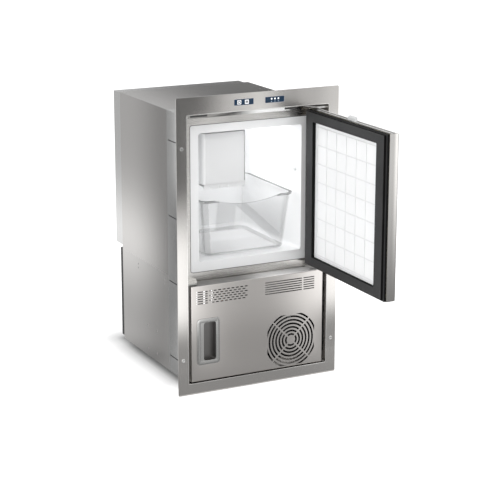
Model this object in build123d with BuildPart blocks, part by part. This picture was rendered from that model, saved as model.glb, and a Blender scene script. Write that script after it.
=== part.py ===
"""Built-in ice maker: a stainless cabinet hung by its front flange, ice above and cooling unit below.

Millimetres, +X to the right of someone facing the door, +Y to the rear, +Z up. The origin is on the rear
face of the mounting flange, in the middle of its width and level with the underside of the base.
"""
import os
from math import cos, radians, sin

from build123d import *

os.makedirs("parts", exist_ok=True)

# Cabinet: the compartments and the walls round them give the outer size
SHEET = 1.2
BAY_HEIGHT = 257.5
FLOOR_WALL = 51.5
ROOF_WALL = 50.0
SIDE_WALL = 45.5
REAR_WALL = 55.0
CAVITY_WIDTH = 292.0
CAVITY_HEIGHT = 330.0
CAVITY_DEPTH = 340.0
CAVITY_CORNER = 7.0
LINER_THICK = 2.5
LINER_RIM_SIDE = 23.0
LINER_RIM_BELOW = 26.0
LINER_RIM_ABOVE = 21.5
LINER_RIM_CORNER = 6.0
FACE_FRONT = 45.0
FACE_THICK = 1.5
COLLAR_DEPTH = 88.5
COLLAR_SEAMS = (44.0, 246.0, 418.0, 613.5)
SEAM_HEIGHT = 3.0
SEAM_END = 7.0
BASE_LIP = 20.0

body_half = CAVITY_WIDTH / 2 + SIDE_WALL
cavity_bottom = BAY_HEIGHT + FLOOR_WALL
cavity_top = cavity_bottom + CAVITY_HEIGHT
cavity_rear = FACE_FRONT + CAVITY_DEPTH
body_top = cavity_top + ROOF_WALL
body_rear = cavity_rear + REAR_WALL
face_rear = FACE_FRONT + FACE_THICK
collar_rear = face_rear + COLLAR_DEPTH
floor_top = BAY_HEIGHT + SHEET
inner_half = body_half - SHEET

# Mounting flange and the return behind its opening
FLANGE_THICK = 2.0
FLANGE_CORNER = 3.0
BORDER_SIDE = 29.0
BORDER_TOP = 45.0
BORDER_BOTTOM = 29.5
OPENING_SIDE_GAP = 6.5
OPENING_ABOVE_BODY = 6.0
OPENING_BOTTOM = 5.5
OPENING_CORNER = 3.0
RETURN_THICK = 1.5
SCREW_FROM_OPENING = 15.0
SCREW_LOW = 70.0
SCREW_BELOW_TOP = 75.0
SCREW_HOLE = 4.6
SCREW_HEAD = 7.0

opening_half = body_half + OPENING_SIDE_GAP
opening_top = body_top + OPENING_ABOVE_BODY
flange_half = opening_half + BORDER_SIDE
flange_top = opening_top + BORDER_TOP
flange_bottom = OPENING_BOTTOM - BORDER_BOTTOM
screw_x = opening_half + SCREW_FROM_OPENING
screw_high = body_top - SCREW_BELOW_TOP

# Door, drawn closed and turned open about its pins when it is written
DOOR_GAP = 2.3
DOOR_ABOVE_BAY = 14.6
DOOR_BELOW_OPENING = 13.1
DOOR_SHEET = 1.0
PAN_DEPTH = 26.5
PAN_EDGE = 5.0
GASKET_BASE = 6.0
GASKET_LIP = 5.6
GASKET_GAP = 1.9
GASKET_BASE_INSET = 1.2
GASKET_LIP_INSET = 7.5
GASKET_END_INSET = 1.2
PANEL_INSET_SIDE = 42.0
PANEL_INSET_END = 28.0
INNER_PANEL_DEPTH = 2.5
INNER_PANEL_GAP = 0.3
GRID_COLUMNS = 6
GRID_ROWS = 7
GRID_MARGIN = 10.0
GRID_GROOVE = 3.0
GRID_DEPTH = 1.5
HINGE_INSET = 17.7
HINGE_SET_BACK = 6.0
DOOR_REST_ANGLE = 90.0

door_half = opening_half - DOOR_GAP
door_bottom = BAY_HEIGHT + DOOR_ABOVE_BAY
door_top = opening_top - DOOR_BELOW_OPENING
door_mid = (door_bottom + door_top) / 2
door_front = FACE_FRONT - GASKET_GAP - GASKET_LIP - GASKET_BASE - PAN_DEPTH
pan_rear = door_front + PAN_DEPTH
hinge_x = door_half - HINGE_INSET
hinge_y = door_front + HINGE_SET_BACK
hinge_axis = Axis((hinge_x, hinge_y, 0), (0, 0, 1))

# Hinge pins, bushes and brackets shared by the door and the service panel
PIN_RADIUS = 3.0
PIN_FIT = 0.05
BUSH_WALL = 1.7
BUSH_LENGTH = 16.0
PIN_REACH = 13.0
BRACKET_THICK = 4.0
BRACKET_ABOVE_PANEL = 1.8
BRACKET_ABOVE_DOOR = 2.5
BRACKET_WIDTH = 33.0
BRACKET_FRONT = 7.0
BRACKET_SLANT = 10.0

# Service panel over the cooling unit
PANEL_FRONT = 0.6
PANEL_SIDE_GAP = 8.8
PANEL_BOTTOM_GAP = 2.0
PANEL_ABOVE_BAY = 3.2
PANEL_REAR_GAP = 3.4
PANEL_SIDE_DEPTH = 22.0
PANEL_EDGE = 2.5
LOUVRE_ROWS = 6
LOUVRE_PITCH = 6.1
LOUVRE_HEIGHT = 2.6
LOUVRE_BELOW_TOP = 17.0
LOUVRE_END_INSET = 14.0
LOUVRE_CLEAR_MIDDLE = 20.0
LOUVRE_LONG = 32.0
LOUVRE_SHORT = 8.0
LOUVRE_BRIDGE = 4.5
GRILLE_X = 96.0
GRILLE_Z = 81.0
GRILLE_DISC_RADIUS = 12.6
GRILLE_RINGS = 7
GRILLE_PITCH = 9.6
GRILLE_SLOT = 4.9
GRILLE_SPOKE = 4.3
GRILLE_SQUARE = 138.0

panel_half = opening_half - PANEL_SIDE_GAP
panel_bottom = OPENING_BOTTOM + PANEL_BOTTOM_GAP
panel_top = BAY_HEIGHT + PANEL_ABOVE_BAY
panel_rear = FACE_FRONT - PANEL_REAR_GAP

# Recessed finger pull, one on the service panel and one on the door
PULL_PLATE_WIDTH = 64.0
PULL_PLATE_HEIGHT = 122.0
PULL_PLATE_THICK = 1.4
PULL_PLATE_CORNER = 8.0
PULL_MOUTH_WIDTH = 34.0
PULL_MOUTH_HEIGHT = 101.0
PULL_MOUTH_SHIFT = 4.0
PULL_MOUTH_CORNER = 6.0
PULL_UNDERCUT = 8.0
PULL_DEPTH = 17.0
PULL_WALL = 1.2
PULL_FROM_EDGE = 47.0
PULL_PANEL_Z = 112.0

# Travel catch in the middle of the door's top edge
CATCH_WIDTH = 33.0
CATCH_THICK = 9.0
CATCH_FROM_FRONT = 8.5
CATCH_PROUD = 9.5
CATCH_IN_DOOR = 20.0
CATCH_BEVEL = 4.0
CATCH_FIT = 0.3
SOCKET_WALL = 2.0
SOCKET_DEPTH = 26.0
CATCH_SLOT_ROOM = 1.5

# Control strip in the flange's top border
DISPLAY_WIDTH = 53.6
DISPLAY_HEIGHT = 15.0
DISPLAY_CORNER = 1.5
DISPLAY_OFFSET = 43.0
DISPLAY_PROUD = 0.4
DISPLAY_BELOW_TOP = 22.0
BUTTON_SIZE = 10.5
BUTTON_X = (-13.0, 8.0)
BUTTON_PROUD = 0.9
BUTTON_FIT = 0.3
BUTTON_FLANGE = 1.5
BUTTON_FLANGE_THICK = 1.4
LED_X = (-9.0, 0.5, 10.0)
LED_ABOVE_MIDDLE = 2.2
LED_RADIUS = 2.2
LED_PROUD = 0.3
CONTROL_BOX_WIDTH = 152.0
CONTROL_BOX_HEIGHT = 30.0
CONTROL_BOX_DEPTH = 18.0
CONTROL_BOX_WALL = 1.5
CONTROL_SEAT = 0.4
BOARD_THICK = 1.6
BOARD_FROM_FRONT = 8.0

display_z = flange_top - DISPLAY_BELOW_TOP
box_half = CONTROL_BOX_WIDTH / 2
box_z = (display_z - CONTROL_BOX_HEIGHT / 2, display_z + CONTROL_BOX_HEIGHT / 2)

# Ice-making unit in the upper left of the compartment
UNIT_X = -62.0
COVER_FRONT = 68.0
COVER_WIDTH = 123.0
COVER_HEIGHT = 129.0
COVER_DEPTH = 50.0
COVER_WALL = 2.0
COVER_BELOW_ROOF = 8.0
COVER_CORNER = 10.0
HOUSING_DEPTH = 50.0
HOUSING_MARGIN = 4.0
MOULD_CELLS = 8
CELL_PITCH = 26.0
CELL_WALL = 4.0
CELL_RADIUS = 34.0
MOULD_WALL = 5.0
MOULD_RAIL_WIDTH = 84.0
MOULD_RAIL_HEIGHT = 10.0
SHAFT_BELOW_ROOF = 64.0
SHAFT_ABOVE_MOULD = 5.0
SHAFT_RADIUS = 5.0
SHAFT_FIT = 0.05
SHAFT_CLEAR = 1.0
SHAFT_IN_HOUSING = 13.0
FINGER_REACH = 30.0
FINGER_WIDTH = 8.0
FINGER_THICK = 4.0
POST_WIDTH = 18.0
COMB_BAR = 8.0
COMB_THICK = 4.0
COMB_FINGER = 8.0
COMB_GAP = 1.5
GUARD_DROP = 8.0
GUARD_THICK = 2.0
GUARD_LIP = 14.0
GUARD_MARGIN = 5.0
GUARD_TEETH = 4
GUARD_TOOTH_PITCH = 25.4
GUARD_NOTCH = 2.5
GUARD_NOTCH_HEIGHT = 7.0
GUARD_SET_BACK = 4.0
ARM_WIRE = 1.8
ARM_BEND = 5.4
ARM_X = 54.0
ARM_BELOW_SHAFT = 15.0
ARM_SWING_X = 26.0
ARM_SWING_Z = 48.0
ARM_LENGTH = 165.0
ARM_IN_HOUSING = 14.0
CUP_LENGTH = 34.0
CUP_WIDTH = 46.0
CUP_HEIGHT = 20.0
CUP_WALL = 2.0
CUP_SPOUT = 6.0
HANGER_THICK = 2.0
HANGER_HEIGHT = 80.0
HANGER_ARM = 6.0
SENSOR_RADIUS = 4.0
SENSOR_PROUD = 5.0
SENSOR_FROM_FRONT = 31.0
SENSOR_ABOVE_FLOOR = 207.0

shaft_z = cavity_top - SHAFT_BELOW_ROOF
mould_top = shaft_z - SHAFT_ABOVE_MOULD
cover_top = cavity_top - COVER_BELOW_ROOF
cover_bottom = cover_top - COVER_HEIGHT
housing_front = COVER_FRONT + COVER_WALL
mould_front = housing_front + HOUSING_DEPTH
mould_length = MOULD_CELLS * CELL_PITCH + CELL_WALL
mould_rear = mould_front + mould_length
mould_radius = CELL_RADIUS + MOULD_WALL
mould_bottom = shaft_z - mould_radius
cell_centres = [mould_front + CELL_WALL / 2 + CELL_PITCH * (i + 0.5) for i in range(MOULD_CELLS)]

# Ice bin
BIN_WIDTH = 269.0
BIN_FROM_FACE = 8.0
BIN_LENGTH = 282.0
BIN_HEIGHT = 150.5
BIN_TAPER = 15.0
BIN_CORNER = 22.0
BIN_BASE_EDGE = 12.0
BIN_WALL = 3.0
BIN_RIM = 5.0
BIN_RIM_THICK = 4.0
BIN_DIP_WIDTH = 190.0
BIN_DIP = 15.0
BIN_CLEAR = 0.4

bin_front = FACE_FRONT + BIN_FROM_FACE
bin_bottom = cavity_bottom + BIN_CLEAR
bin_top = bin_bottom + BIN_HEIGHT

# Cooling unit
FAN_RADIUS = 58.0
FAN_CLEAR = 2.0
FAN_RING = 2.0
FAN_FRONT = 54.0
FAN_RING_DEPTH = 26.0
SHROUD_PLATE = 1.5
CONDENSER_WIDTH = 150.0
CONDENSER_HEIGHT = 150.0
CONDENSER_DEPTH = 46.0
FIN_COUNT = 24
FIN_THICK = 0.8
END_PLATE = 2.0
TUBE_ROWS = 5
TUBE_COLUMNS = 2
TUBE_RADIUS = 4.0
HUB_RADIUS = 20.0
HUB_DEPTH = 16.0
BLADE_COUNT = 5
BLADE_ROOT = 10.0
BLADE_CHORD = 24.0
BLADE_THICK = 1.8
BLADE_PITCH = 35.0
FAN_SHAFT = 3.0
FAN_SHAFT_REACH = 9.0
FAN_MOTOR_RADIUS = 22.0
FAN_MOTOR_DEPTH = 9.0
FAN_MOTOR_GAP = 1.0
FAN_ARM = 6.0
FAN_ARM_DEPTH = 4.0
COMPRESSOR_X = 85.0
COMPRESSOR_Y = 285.0
COMPRESSOR_RADIUS = 70.0
COMPRESSOR_HEIGHT = 165.0
COMPRESSOR_DOME = 38.0
COMPRESSOR_FLAT = 35.0
COMPRESSOR_SEAM = 3.0
FOOT_PLATE = 4.0
FOOT_LENGTH = 176.0
FOOT_WIDTH = 110.0
MOUNT_RADIUS = 11.0
MOUNT_HEIGHT = 15.0
MOUNT_INSET = 14.0
LINE_RADIUS = 3.0
LINE_BEND = 15.0
LINE_INSET = 12.0
CAPILLARY_RADIUS = 1.5
STUB_LENGTH = 12.0
DISCHARGE_Z = 130.0
SUCTION_Z = 110.0
LIQUID_Z = 30.0
DRIER_X = -20.0
DRIER_Y = 165.0
DRIER_RADIUS = 12.0
DRIER_CORNER = 6.0
DRIER_LENGTH = 100.0
DRIER_BOTTOM = 60.0
CAPILLARY_BELOW_FLOOR = 22.5
EVAPORATOR_WIDTH = 250.0
EVAPORATOR_HEIGHT = 240.0
EVAPORATOR_THICK = 2.0
EVAPORATOR_ABOVE_FLOOR = 30.0
COIL_RUNS = 6
COIL_PITCH = 30.0
COIL_BEND = 10.0
COIL_SEAT = 1.0
COIL_RADIUS = 4.0
COIL_WIDTH = 200.0
COIL_DOWN = 22.0
COIL_ABOVE_EDGE = 44.0
POCKET_ROOM = 2.0
MODULE_WIDTH = 66.0
MODULE_LENGTH = 130.0
MODULE_HEIGHT = 120.0
MODULE_FRONT = 200.0
MODULE_BOTTOM = 60.0
MODULE_FINS = 9
MODULE_FIN = 2.5
MODULE_FIN_HEIGHT = 12.0

unit_floor = SHEET
fan_rear = FAN_FRONT + FAN_RING_DEPTH
condenser_front = fan_rear + SHROUD_PLATE
condenser_rear = condenser_front + CONDENSER_DEPTH
shell_bottom = unit_floor + MOUNT_HEIGHT + FOOT_PLATE
riser_y = cavity_rear + LINER_THICK + EVAPORATOR_THICK + COIL_RADIUS - COIL_SEAT
coil_bottom = cavity_bottom + EVAPORATOR_ABOVE_FLOOR + COIL_ABOVE_EDGE
coil_left = -COIL_WIDTH / 2
coil_down_x = COIL_WIDTH / 2 + COIL_DOWN / 2
coil_entry_z = coil_bottom - COIL_DOWN
capillary_z = BAY_HEIGHT - CAPILLARY_BELOW_FLOOR

# Rear cover with the water valve, and the grille below it
COVER_REAR_DEPTH = 47.0
COVER_REAR_ABOVE_BAY = 9.5
COVER_REAR_BELOW_TOP = 2.0
COVER_REAR_INSET_LEFT = 0.5
COVER_REAR_INSET_RIGHT = 6.5
COVER_REAR_EDGE = 3.0
VALVE_WIDTH = 40.0
VALVE_FROM_COVER = 15.0
VALVE_HEIGHT = 40.0
VALVE_ABOVE_COVER = 22.0
INLET_RADIUS = 13.2
INLET_BORE = 8.0
INLET_PROUD = 14.0
INLET_CLEAR = 0.4
COIL_CAN_RADIUS = 14.0
COIL_CAN_LENGTH = 34.0
FILL_RADIUS = 5.0
FILL_WALL = 1.0
FILL_BEND = 22.0
FILL_BELOW_ROOF = 33.0
FILL_OVER_CUP = 14.0
GRILLE_REAR_DEPTH = 14.0
GRILLE_REAR_WALL = 2.0
GRILLE_REAR_BOTTOM = 8.0
GRILLE_REAR_SLOTS = 14
GRILLE_REAR_PITCH = 24.0
GRILLE_REAR_SLOT = 7.0
GRILLE_REAR_MARGIN = 30.0
GLAND_RADIUS = 8.0
GLAND_NUT = 11.0
GLAND_BORE = 4.0
GLAND_LENGTH = 16.0
GLAND_FROM_SIDE = 41.5
GLAND_Z = 20.0

cover_left = -body_half + COVER_REAR_INSET_LEFT
cover_right = body_half - COVER_REAR_INSET_RIGHT
rear_cover_bottom = BAY_HEIGHT + COVER_REAR_ABOVE_BAY
rear_cover_top = body_top - COVER_REAR_BELOW_TOP
rear_cover_rear = body_rear + COVER_REAR_DEPTH
valve_y = rear_cover_rear - SHEET - VALVE_FROM_COVER
valve_bottom = rear_cover_bottom + VALVE_ABOVE_COVER
fill_z = cavity_top - FILL_BELOW_ROOF
cup_front = mould_rear
fill_end = cup_front + FILL_OVER_CUP
gland_x = -body_half + GLAND_FROM_SIDE


def upright(y):
    """Sketch plane facing the door side at depth y, with local axes X and Z."""
    return Plane.XZ.offset(-y)


def block(x, y, z, mode=Mode.ADD):
    """Box between two corners, each axis given as (low, high)."""
    with Locations(((x[0] + x[1]) / 2, (y[0] + y[1]) / 2, (z[0] + z[1]) / 2)):
        Box(x[1] - x[0], y[1] - y[0], z[1] - z[0], mode=mode)


def rod(start, direction, radius, length, mode=Mode.ADD):
    """Cylinder from a start point along a direction."""
    with Locations(Plane(origin=start, z_dir=direction)):
        Cylinder(radius, length, align=(Align.CENTER, Align.CENTER, Align.MIN), mode=mode)


def bent_tube(points, radius, bend, bore=0.0):
    """Round tube along straight runs joined by tangent arcs."""
    with BuildPart() as tube:
        with BuildLine() as route:
            FilletPolyline(*points, radius=bend)
        with BuildSketch(Plane(origin=route.line @ 0, z_dir=route.line % 0)):
            Circle(radius)
            if bore:
                Circle(bore, mode=Mode.SUBTRACT)
        sweep(path=route.line)
    return tube


# Front frame: flange plate with countersunk screw holes and a welded return round the opening
opening_mid = (OPENING_BOTTOM + opening_top) / 2
opening_height = opening_top - OPENING_BOTTOM
with BuildPart() as front_frame:
    with BuildSketch(Plane.XZ):
        with Locations((0, (flange_bottom + flange_top) / 2)):
            RectangleRounded(2 * flange_half, flange_top - flange_bottom, FLANGE_CORNER)
        with Locations((0, opening_mid)):
            RectangleRounded(2 * opening_half, opening_height, OPENING_CORNER, mode=Mode.SUBTRACT)
        with Locations((-DISPLAY_OFFSET, display_z), (DISPLAY_OFFSET, display_z)):
            RectangleRounded(DISPLAY_WIDTH, DISPLAY_HEIGHT, DISPLAY_CORNER, mode=Mode.SUBTRACT)
    extrude(amount=FLANGE_THICK)
    with BuildSketch(Plane.XZ):
        with Locations((0, opening_mid)):
            RectangleRounded(
                2 * (opening_half + RETURN_THICK),
                opening_height + 2 * RETURN_THICK,
                OPENING_CORNER + RETURN_THICK,
            )
            RectangleRounded(2 * opening_half, opening_height, OPENING_CORNER, mode=Mode.SUBTRACT)
    extrude(amount=-face_rear)
    with Locations(Plane.XZ.offset(FLANGE_THICK)):
        with Locations(*[(x, z) for x in (-screw_x, screw_x) for z in (SCREW_LOW, screw_high)]):
            CounterSinkHole(SCREW_HOLE / 2, SCREW_HEAD / 2)
    slot_x = CATCH_WIDTH / 2 + CATCH_SLOT_ROOM
    slot_front = door_front + CATCH_FROM_FRONT - CATCH_SLOT_ROOM
    slot_rear = door_front + CATCH_FROM_FRONT + CATCH_THICK + CATCH_SLOT_ROOM
    block(
        (-slot_x, slot_x),
        (slot_front, slot_rear),
        (opening_top, opening_top + RETURN_THICK),
        Mode.SUBTRACT,
    )
    block((-box_half, box_half), (-CONTROL_SEAT, 0), box_z, Mode.SUBTRACT)

# Face frame: flat steel surround that closes the cabinet front and carries the hinge brackets
rim_half = CAVITY_WIDTH / 2 + LINER_RIM_SIDE
rim_bottom = cavity_bottom - LINER_RIM_BELOW
rim_top = cavity_top + LINER_RIM_ABOVE
rim_mid = (rim_bottom + rim_top) / 2
with BuildPart() as face_frame:
    with BuildSketch(upright(FACE_FRONT)):
        with Locations((0, (BAY_HEIGHT + opening_top) / 2)):
            Rectangle(2 * opening_half, opening_top - BAY_HEIGHT)
        with Locations((0, rim_mid)):
            RectangleRounded(2 * rim_half, rim_top - rim_bottom, LINER_RIM_CORNER, mode=Mode.SUBTRACT)
    extrude(amount=-FACE_THICK)
    fillet(face_frame.edges().filter_by(Axis.Y).group_by(Axis.Z)[-1], OPENING_CORNER)

# Front collar: folded sheet behind the face frame, with pressed slots down both sides
with BuildPart() as front_collar:
    with BuildSketch(upright(face_rear)):
        with Locations((0, body_top / 2)):
            Rectangle(2 * body_half, body_top)
        with Locations((0, (body_top - SHEET) / 2)):
            Rectangle(2 * inner_half, body_top - SHEET, mode=Mode.SUBTRACT)
    extrude(amount=-COLLAR_DEPTH)
    for seam_z in COLLAR_SEAMS:
        block(
            (-body_half, body_half),
            (face_rear + SEAM_END, collar_rear - SEAM_END),
            (seam_z - SEAM_HEIGHT / 2, seam_z + SEAM_HEIGHT / 2),
            Mode.SUBTRACT,
        )

# Upper casing: one folded sheet over both sides and the roof
with BuildPart() as upper_casing:
    with BuildSketch(upright(collar_rear)):
        with Locations((0, (BAY_HEIGHT + body_top) / 2)):
            Rectangle(2 * body_half, body_top - BAY_HEIGHT)
        with Locations((0, (BAY_HEIGHT + body_top - SHEET) / 2)):
            Rectangle(2 * inner_half, body_top - SHEET - BAY_HEIGHT, mode=Mode.SUBTRACT)
    extrude(amount=-(body_rear - collar_rear))

# Lower side panels, one each side of the cooling unit
side_panels = {}
for side, sign in (("left", -1), ("right", 1)):
    x_faces = sorted((sign * inner_half, sign * body_half))
    with BuildPart() as side_panel:
        block(x_faces, (collar_rear, body_rear), (0, BAY_HEIGHT))
    side_panels[side] = side_panel

# Base pan with lips turned up all round
with BuildPart() as base_pan:
    block((-inner_half, inner_half), (face_rear, body_rear), (0, BASE_LIP))
    block(
        (-inner_half + SHEET, inner_half - SHEET),
        (face_rear + SHEET, body_rear - SHEET),
        (SHEET, BASE_LIP),
        Mode.SUBTRACT,
    )

# Compartment floor between the insulated box and the cooling unit
with BuildPart() as compartment_floor:
    block((-inner_half, inner_half), (face_rear, body_rear - SHEET), (BAY_HEIGHT, floor_top))
    rod((coil_left, riser_y, BAY_HEIGHT), (0, 0, 1), LINE_RADIUS, SHEET, Mode.SUBTRACT)
    rod((coil_down_x, riser_y, BAY_HEIGHT), (0, 0, 1), CAPILLARY_RADIUS, SHEET, Mode.SUBTRACT)

# Rear panel closing the insulation
with BuildPart() as rear_panel:
    block((-inner_half, inner_half), (body_rear - SHEET, body_rear), (BAY_HEIGHT, body_top - SHEET))
    rod((UNIT_X, body_rear - SHEET, fill_z), (0, 1, 0), FILL_RADIUS, SHEET, Mode.SUBTRACT)

# Inner liner: vacuum-formed white box with a flat rim that the door seal meets
with BuildPart() as inner_liner:
    with BuildSketch(upright(FACE_FRONT)):
        with Locations((0, rim_mid)):
            RectangleRounded(2 * rim_half, rim_top - rim_bottom, LINER_RIM_CORNER)
    extrude(amount=-LINER_THICK)
    with BuildSketch(upright(FACE_FRONT)):
        with Locations((0, (cavity_bottom + cavity_top) / 2)):
            RectangleRounded(
                CAVITY_WIDTH + 2 * LINER_THICK, CAVITY_HEIGHT + 2 * LINER_THICK, CAVITY_CORNER + LINER_THICK
            )
    extrude(amount=-(CAVITY_DEPTH + LINER_THICK))
    with BuildSketch(upright(FACE_FRONT)):
        with Locations((0, (cavity_bottom + cavity_top) / 2)):
            RectangleRounded(CAVITY_WIDTH, CAVITY_HEIGHT, CAVITY_CORNER)
    extrude(amount=-CAVITY_DEPTH, mode=Mode.SUBTRACT)
    rod((UNIT_X, cavity_rear, fill_z), (0, 1, 0), FILL_RADIUS, LINER_THICK, Mode.SUBTRACT)

# Insulation: foam filling the space between the casing and the liner
pocket_rear = riser_y + COIL_RADIUS + POCKET_ROOM
pocket_bottom = cavity_bottom + EVAPORATOR_ABOVE_FLOOR - POCKET_ROOM
pocket_top = pocket_bottom + EVAPORATOR_HEIGHT + 2 * POCKET_ROOM
pocket_half = EVAPORATOR_WIDTH / 2 + POCKET_ROOM
with BuildPart() as insulation:
    block((-inner_half, inner_half), (face_rear, body_rear - SHEET), (floor_top, body_top - SHEET))
    with BuildSketch(upright(face_rear)):
        with Locations((0, rim_mid)):
            RectangleRounded(2 * rim_half, rim_top - rim_bottom, LINER_RIM_CORNER)
    extrude(amount=-(LINER_THICK - FACE_THICK), mode=Mode.SUBTRACT)
    with BuildSketch(upright(face_rear)):
        with Locations((0, (cavity_bottom + cavity_top) / 2)):
            RectangleRounded(
                CAVITY_WIDTH + 2 * LINER_THICK, CAVITY_HEIGHT + 2 * LINER_THICK, CAVITY_CORNER + LINER_THICK
            )
    extrude(amount=-(cavity_rear + LINER_THICK - face_rear), mode=Mode.SUBTRACT)
    block(
        (-pocket_half, pocket_half),
        (cavity_rear + LINER_THICK, pocket_rear),
        (pocket_bottom, pocket_top),
        Mode.SUBTRACT,
    )
    riser_length = pocket_bottom - floor_top
    rod((coil_left, riser_y, floor_top), (0, 0, 1), LINE_RADIUS, riser_length, Mode.SUBTRACT)
    rod((coil_down_x, riser_y, floor_top), (0, 0, 1), CAPILLARY_RADIUS, riser_length, Mode.SUBTRACT)
    rod(
        (UNIT_X, cavity_rear + LINER_THICK, fill_z),
        (0, 1, 0),
        FILL_RADIUS,
        REAR_WALL - SHEET - LINER_THICK,
        Mode.SUBTRACT,
    )

# Rear cover: deep pressed lid over the water valve and fill tube
with BuildPart() as rear_cover:
    block((cover_left, cover_right), (body_rear, rear_cover_rear), (rear_cover_bottom, rear_cover_top))
    fillet(rear_cover.faces().sort_by(Axis.Y)[-1].edges(), COVER_REAR_EDGE)
    block(
        (cover_left + SHEET, cover_right - SHEET),
        (body_rear, rear_cover_rear - SHEET),
        (rear_cover_bottom + SHEET, rear_cover_top - SHEET),
        Mode.SUBTRACT,
    )
    rod((UNIT_X, valve_y, rear_cover_bottom), (0, 0, 1), INLET_RADIUS + INLET_CLEAR, SHEET, Mode.SUBTRACT)

# Rear grille: dark slotted pan behind the cooling unit
grille_top = BAY_HEIGHT
grille_mid = (GRILLE_REAR_BOTTOM + grille_top) / 2
grille_rear = body_rear + GRILLE_REAR_DEPTH
with BuildPart() as rear_grille:
    block((-body_half, body_half), (body_rear, grille_rear), (GRILLE_REAR_BOTTOM, grille_top))
    block(
        (-body_half + GRILLE_REAR_WALL, body_half - GRILLE_REAR_WALL),
        (body_rear, grille_rear - GRILLE_REAR_WALL),
        (GRILLE_REAR_BOTTOM + GRILLE_REAR_WALL, grille_top - GRILLE_REAR_WALL),
        Mode.SUBTRACT,
    )
    with BuildSketch(upright(grille_rear)):
        with Locations((0, grille_mid)):
            with GridLocations(GRILLE_REAR_PITCH, 0, GRILLE_REAR_SLOTS, 1):
                Rectangle(GRILLE_REAR_SLOT, grille_top - GRILLE_REAR_BOTTOM - 2 * GRILLE_REAR_MARGIN)
    extrude(amount=GRILLE_REAR_WALL, mode=Mode.SUBTRACT)
    neck_start = (gland_x, grille_rear - GRILLE_REAR_WALL, GLAND_Z)
    rod(neck_start, (0, 1, 0), GLAND_RADIUS, GRILLE_REAR_WALL, Mode.SUBTRACT)

# Cable gland in the grille: hexagon nut outside, threaded neck through the wall
with BuildPart() as cable_gland:
    rod(neck_start, (0, 1, 0), GLAND_RADIUS, GRILLE_REAR_WALL)
    with BuildSketch(upright(grille_rear)):
        with Locations((gland_x, GLAND_Z)):
            RegularPolygon(GLAND_NUT, 6)
    extrude(amount=-GLAND_LENGTH / 2)
    rod((gland_x, grille_rear + GLAND_LENGTH / 2, GLAND_Z), (0, 1, 0), GLAND_RADIUS, GLAND_LENGTH / 2)
    rod((gland_x, body_rear, GLAND_Z), (0, 1, 0), GLAND_BORE, GRILLE_REAR_DEPTH + GLAND_LENGTH, Mode.SUBTRACT)

# Hinge brackets: flat plates welded between the face frame and the return
lower_bracket_z = panel_top + BRACKET_ABOVE_PANEL
upper_bracket_z = door_top + BRACKET_ABOVE_DOOR


def hinge_bracket(z, sign, pin_hole):
    """Plate with a slanted inner end, on the side given by sign."""
    outer = sign * opening_half
    inner = sign * (opening_half - BRACKET_WIDTH)
    with BuildPart() as bracket:
        with BuildSketch(Plane.XY.offset(z)):
            with BuildLine():
                Polyline(
                    (outer, FACE_FRONT),
                    (inner - sign * BRACKET_SLANT, FACE_FRONT),
                    (inner, BRACKET_FRONT + BRACKET_SLANT),
                    (inner + sign * BRACKET_SLANT / 2, BRACKET_FRONT),
                    (outer, BRACKET_FRONT),
                    close=True,
                )
            make_face()
            if pin_hole:
                with Locations((hinge_x, hinge_y)):
                    Circle(PIN_RADIUS, mode=Mode.SUBTRACT)
        extrude(amount=BRACKET_THICK)
    return bracket


upper_hinge_bracket = hinge_bracket(upper_bracket_z, 1, True)
lower_hinge_bracket = hinge_bracket(lower_bracket_z, 1, True)
spare_hinge_bracket = hinge_bracket(lower_bracket_z, -1, False)

# Hinge pins: one above the door, one shared by door and panel, one under the panel
upper_pin_length = PIN_REACH + BRACKET_ABOVE_DOOR + BRACKET_THICK
middle_pin_length = door_bottom - panel_top + 2 * PIN_REACH
with BuildPart() as hinge_pins:
    rod((hinge_x, hinge_y, door_top - PIN_REACH), (0, 0, 1), PIN_RADIUS, upper_pin_length)
    rod((hinge_x, hinge_y, panel_top - PIN_REACH), (0, 0, 1), PIN_RADIUS, middle_pin_length)
    rod((hinge_x, hinge_y, OPENING_BOTTOM), (0, 0, 1), PIN_RADIUS, PANEL_BOTTOM_GAP + PIN_REACH)

# Display windows let into the flange, with the push buttons and the indicator lenses
with BuildPart() as button_window:
    with BuildSketch(upright(-FLANGE_THICK - DISPLAY_PROUD)):
        with Locations((-DISPLAY_OFFSET, display_z)):
            RectangleRounded(DISPLAY_WIDTH, DISPLAY_HEIGHT, DISPLAY_CORNER)
            with Locations(*[(x, 0) for x in BUTTON_X]):
                Rectangle(BUTTON_SIZE + 2 * BUTTON_FIT, BUTTON_SIZE + 2 * BUTTON_FIT, mode=Mode.SUBTRACT)
    extrude(amount=-(FLANGE_THICK + DISPLAY_PROUD))
with BuildPart() as indicator_window:
    with BuildSketch(upright(-FLANGE_THICK - DISPLAY_PROUD)):
        with Locations((DISPLAY_OFFSET, display_z)):
            RectangleRounded(DISPLAY_WIDTH, DISPLAY_HEIGHT, DISPLAY_CORNER)
            with Locations(*[(x, LED_ABOVE_MIDDLE) for x in LED_X]):
                Circle(LED_RADIUS, mode=Mode.SUBTRACT)
    extrude(amount=-(FLANGE_THICK + DISPLAY_PROUD))
buttons = {}
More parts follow.
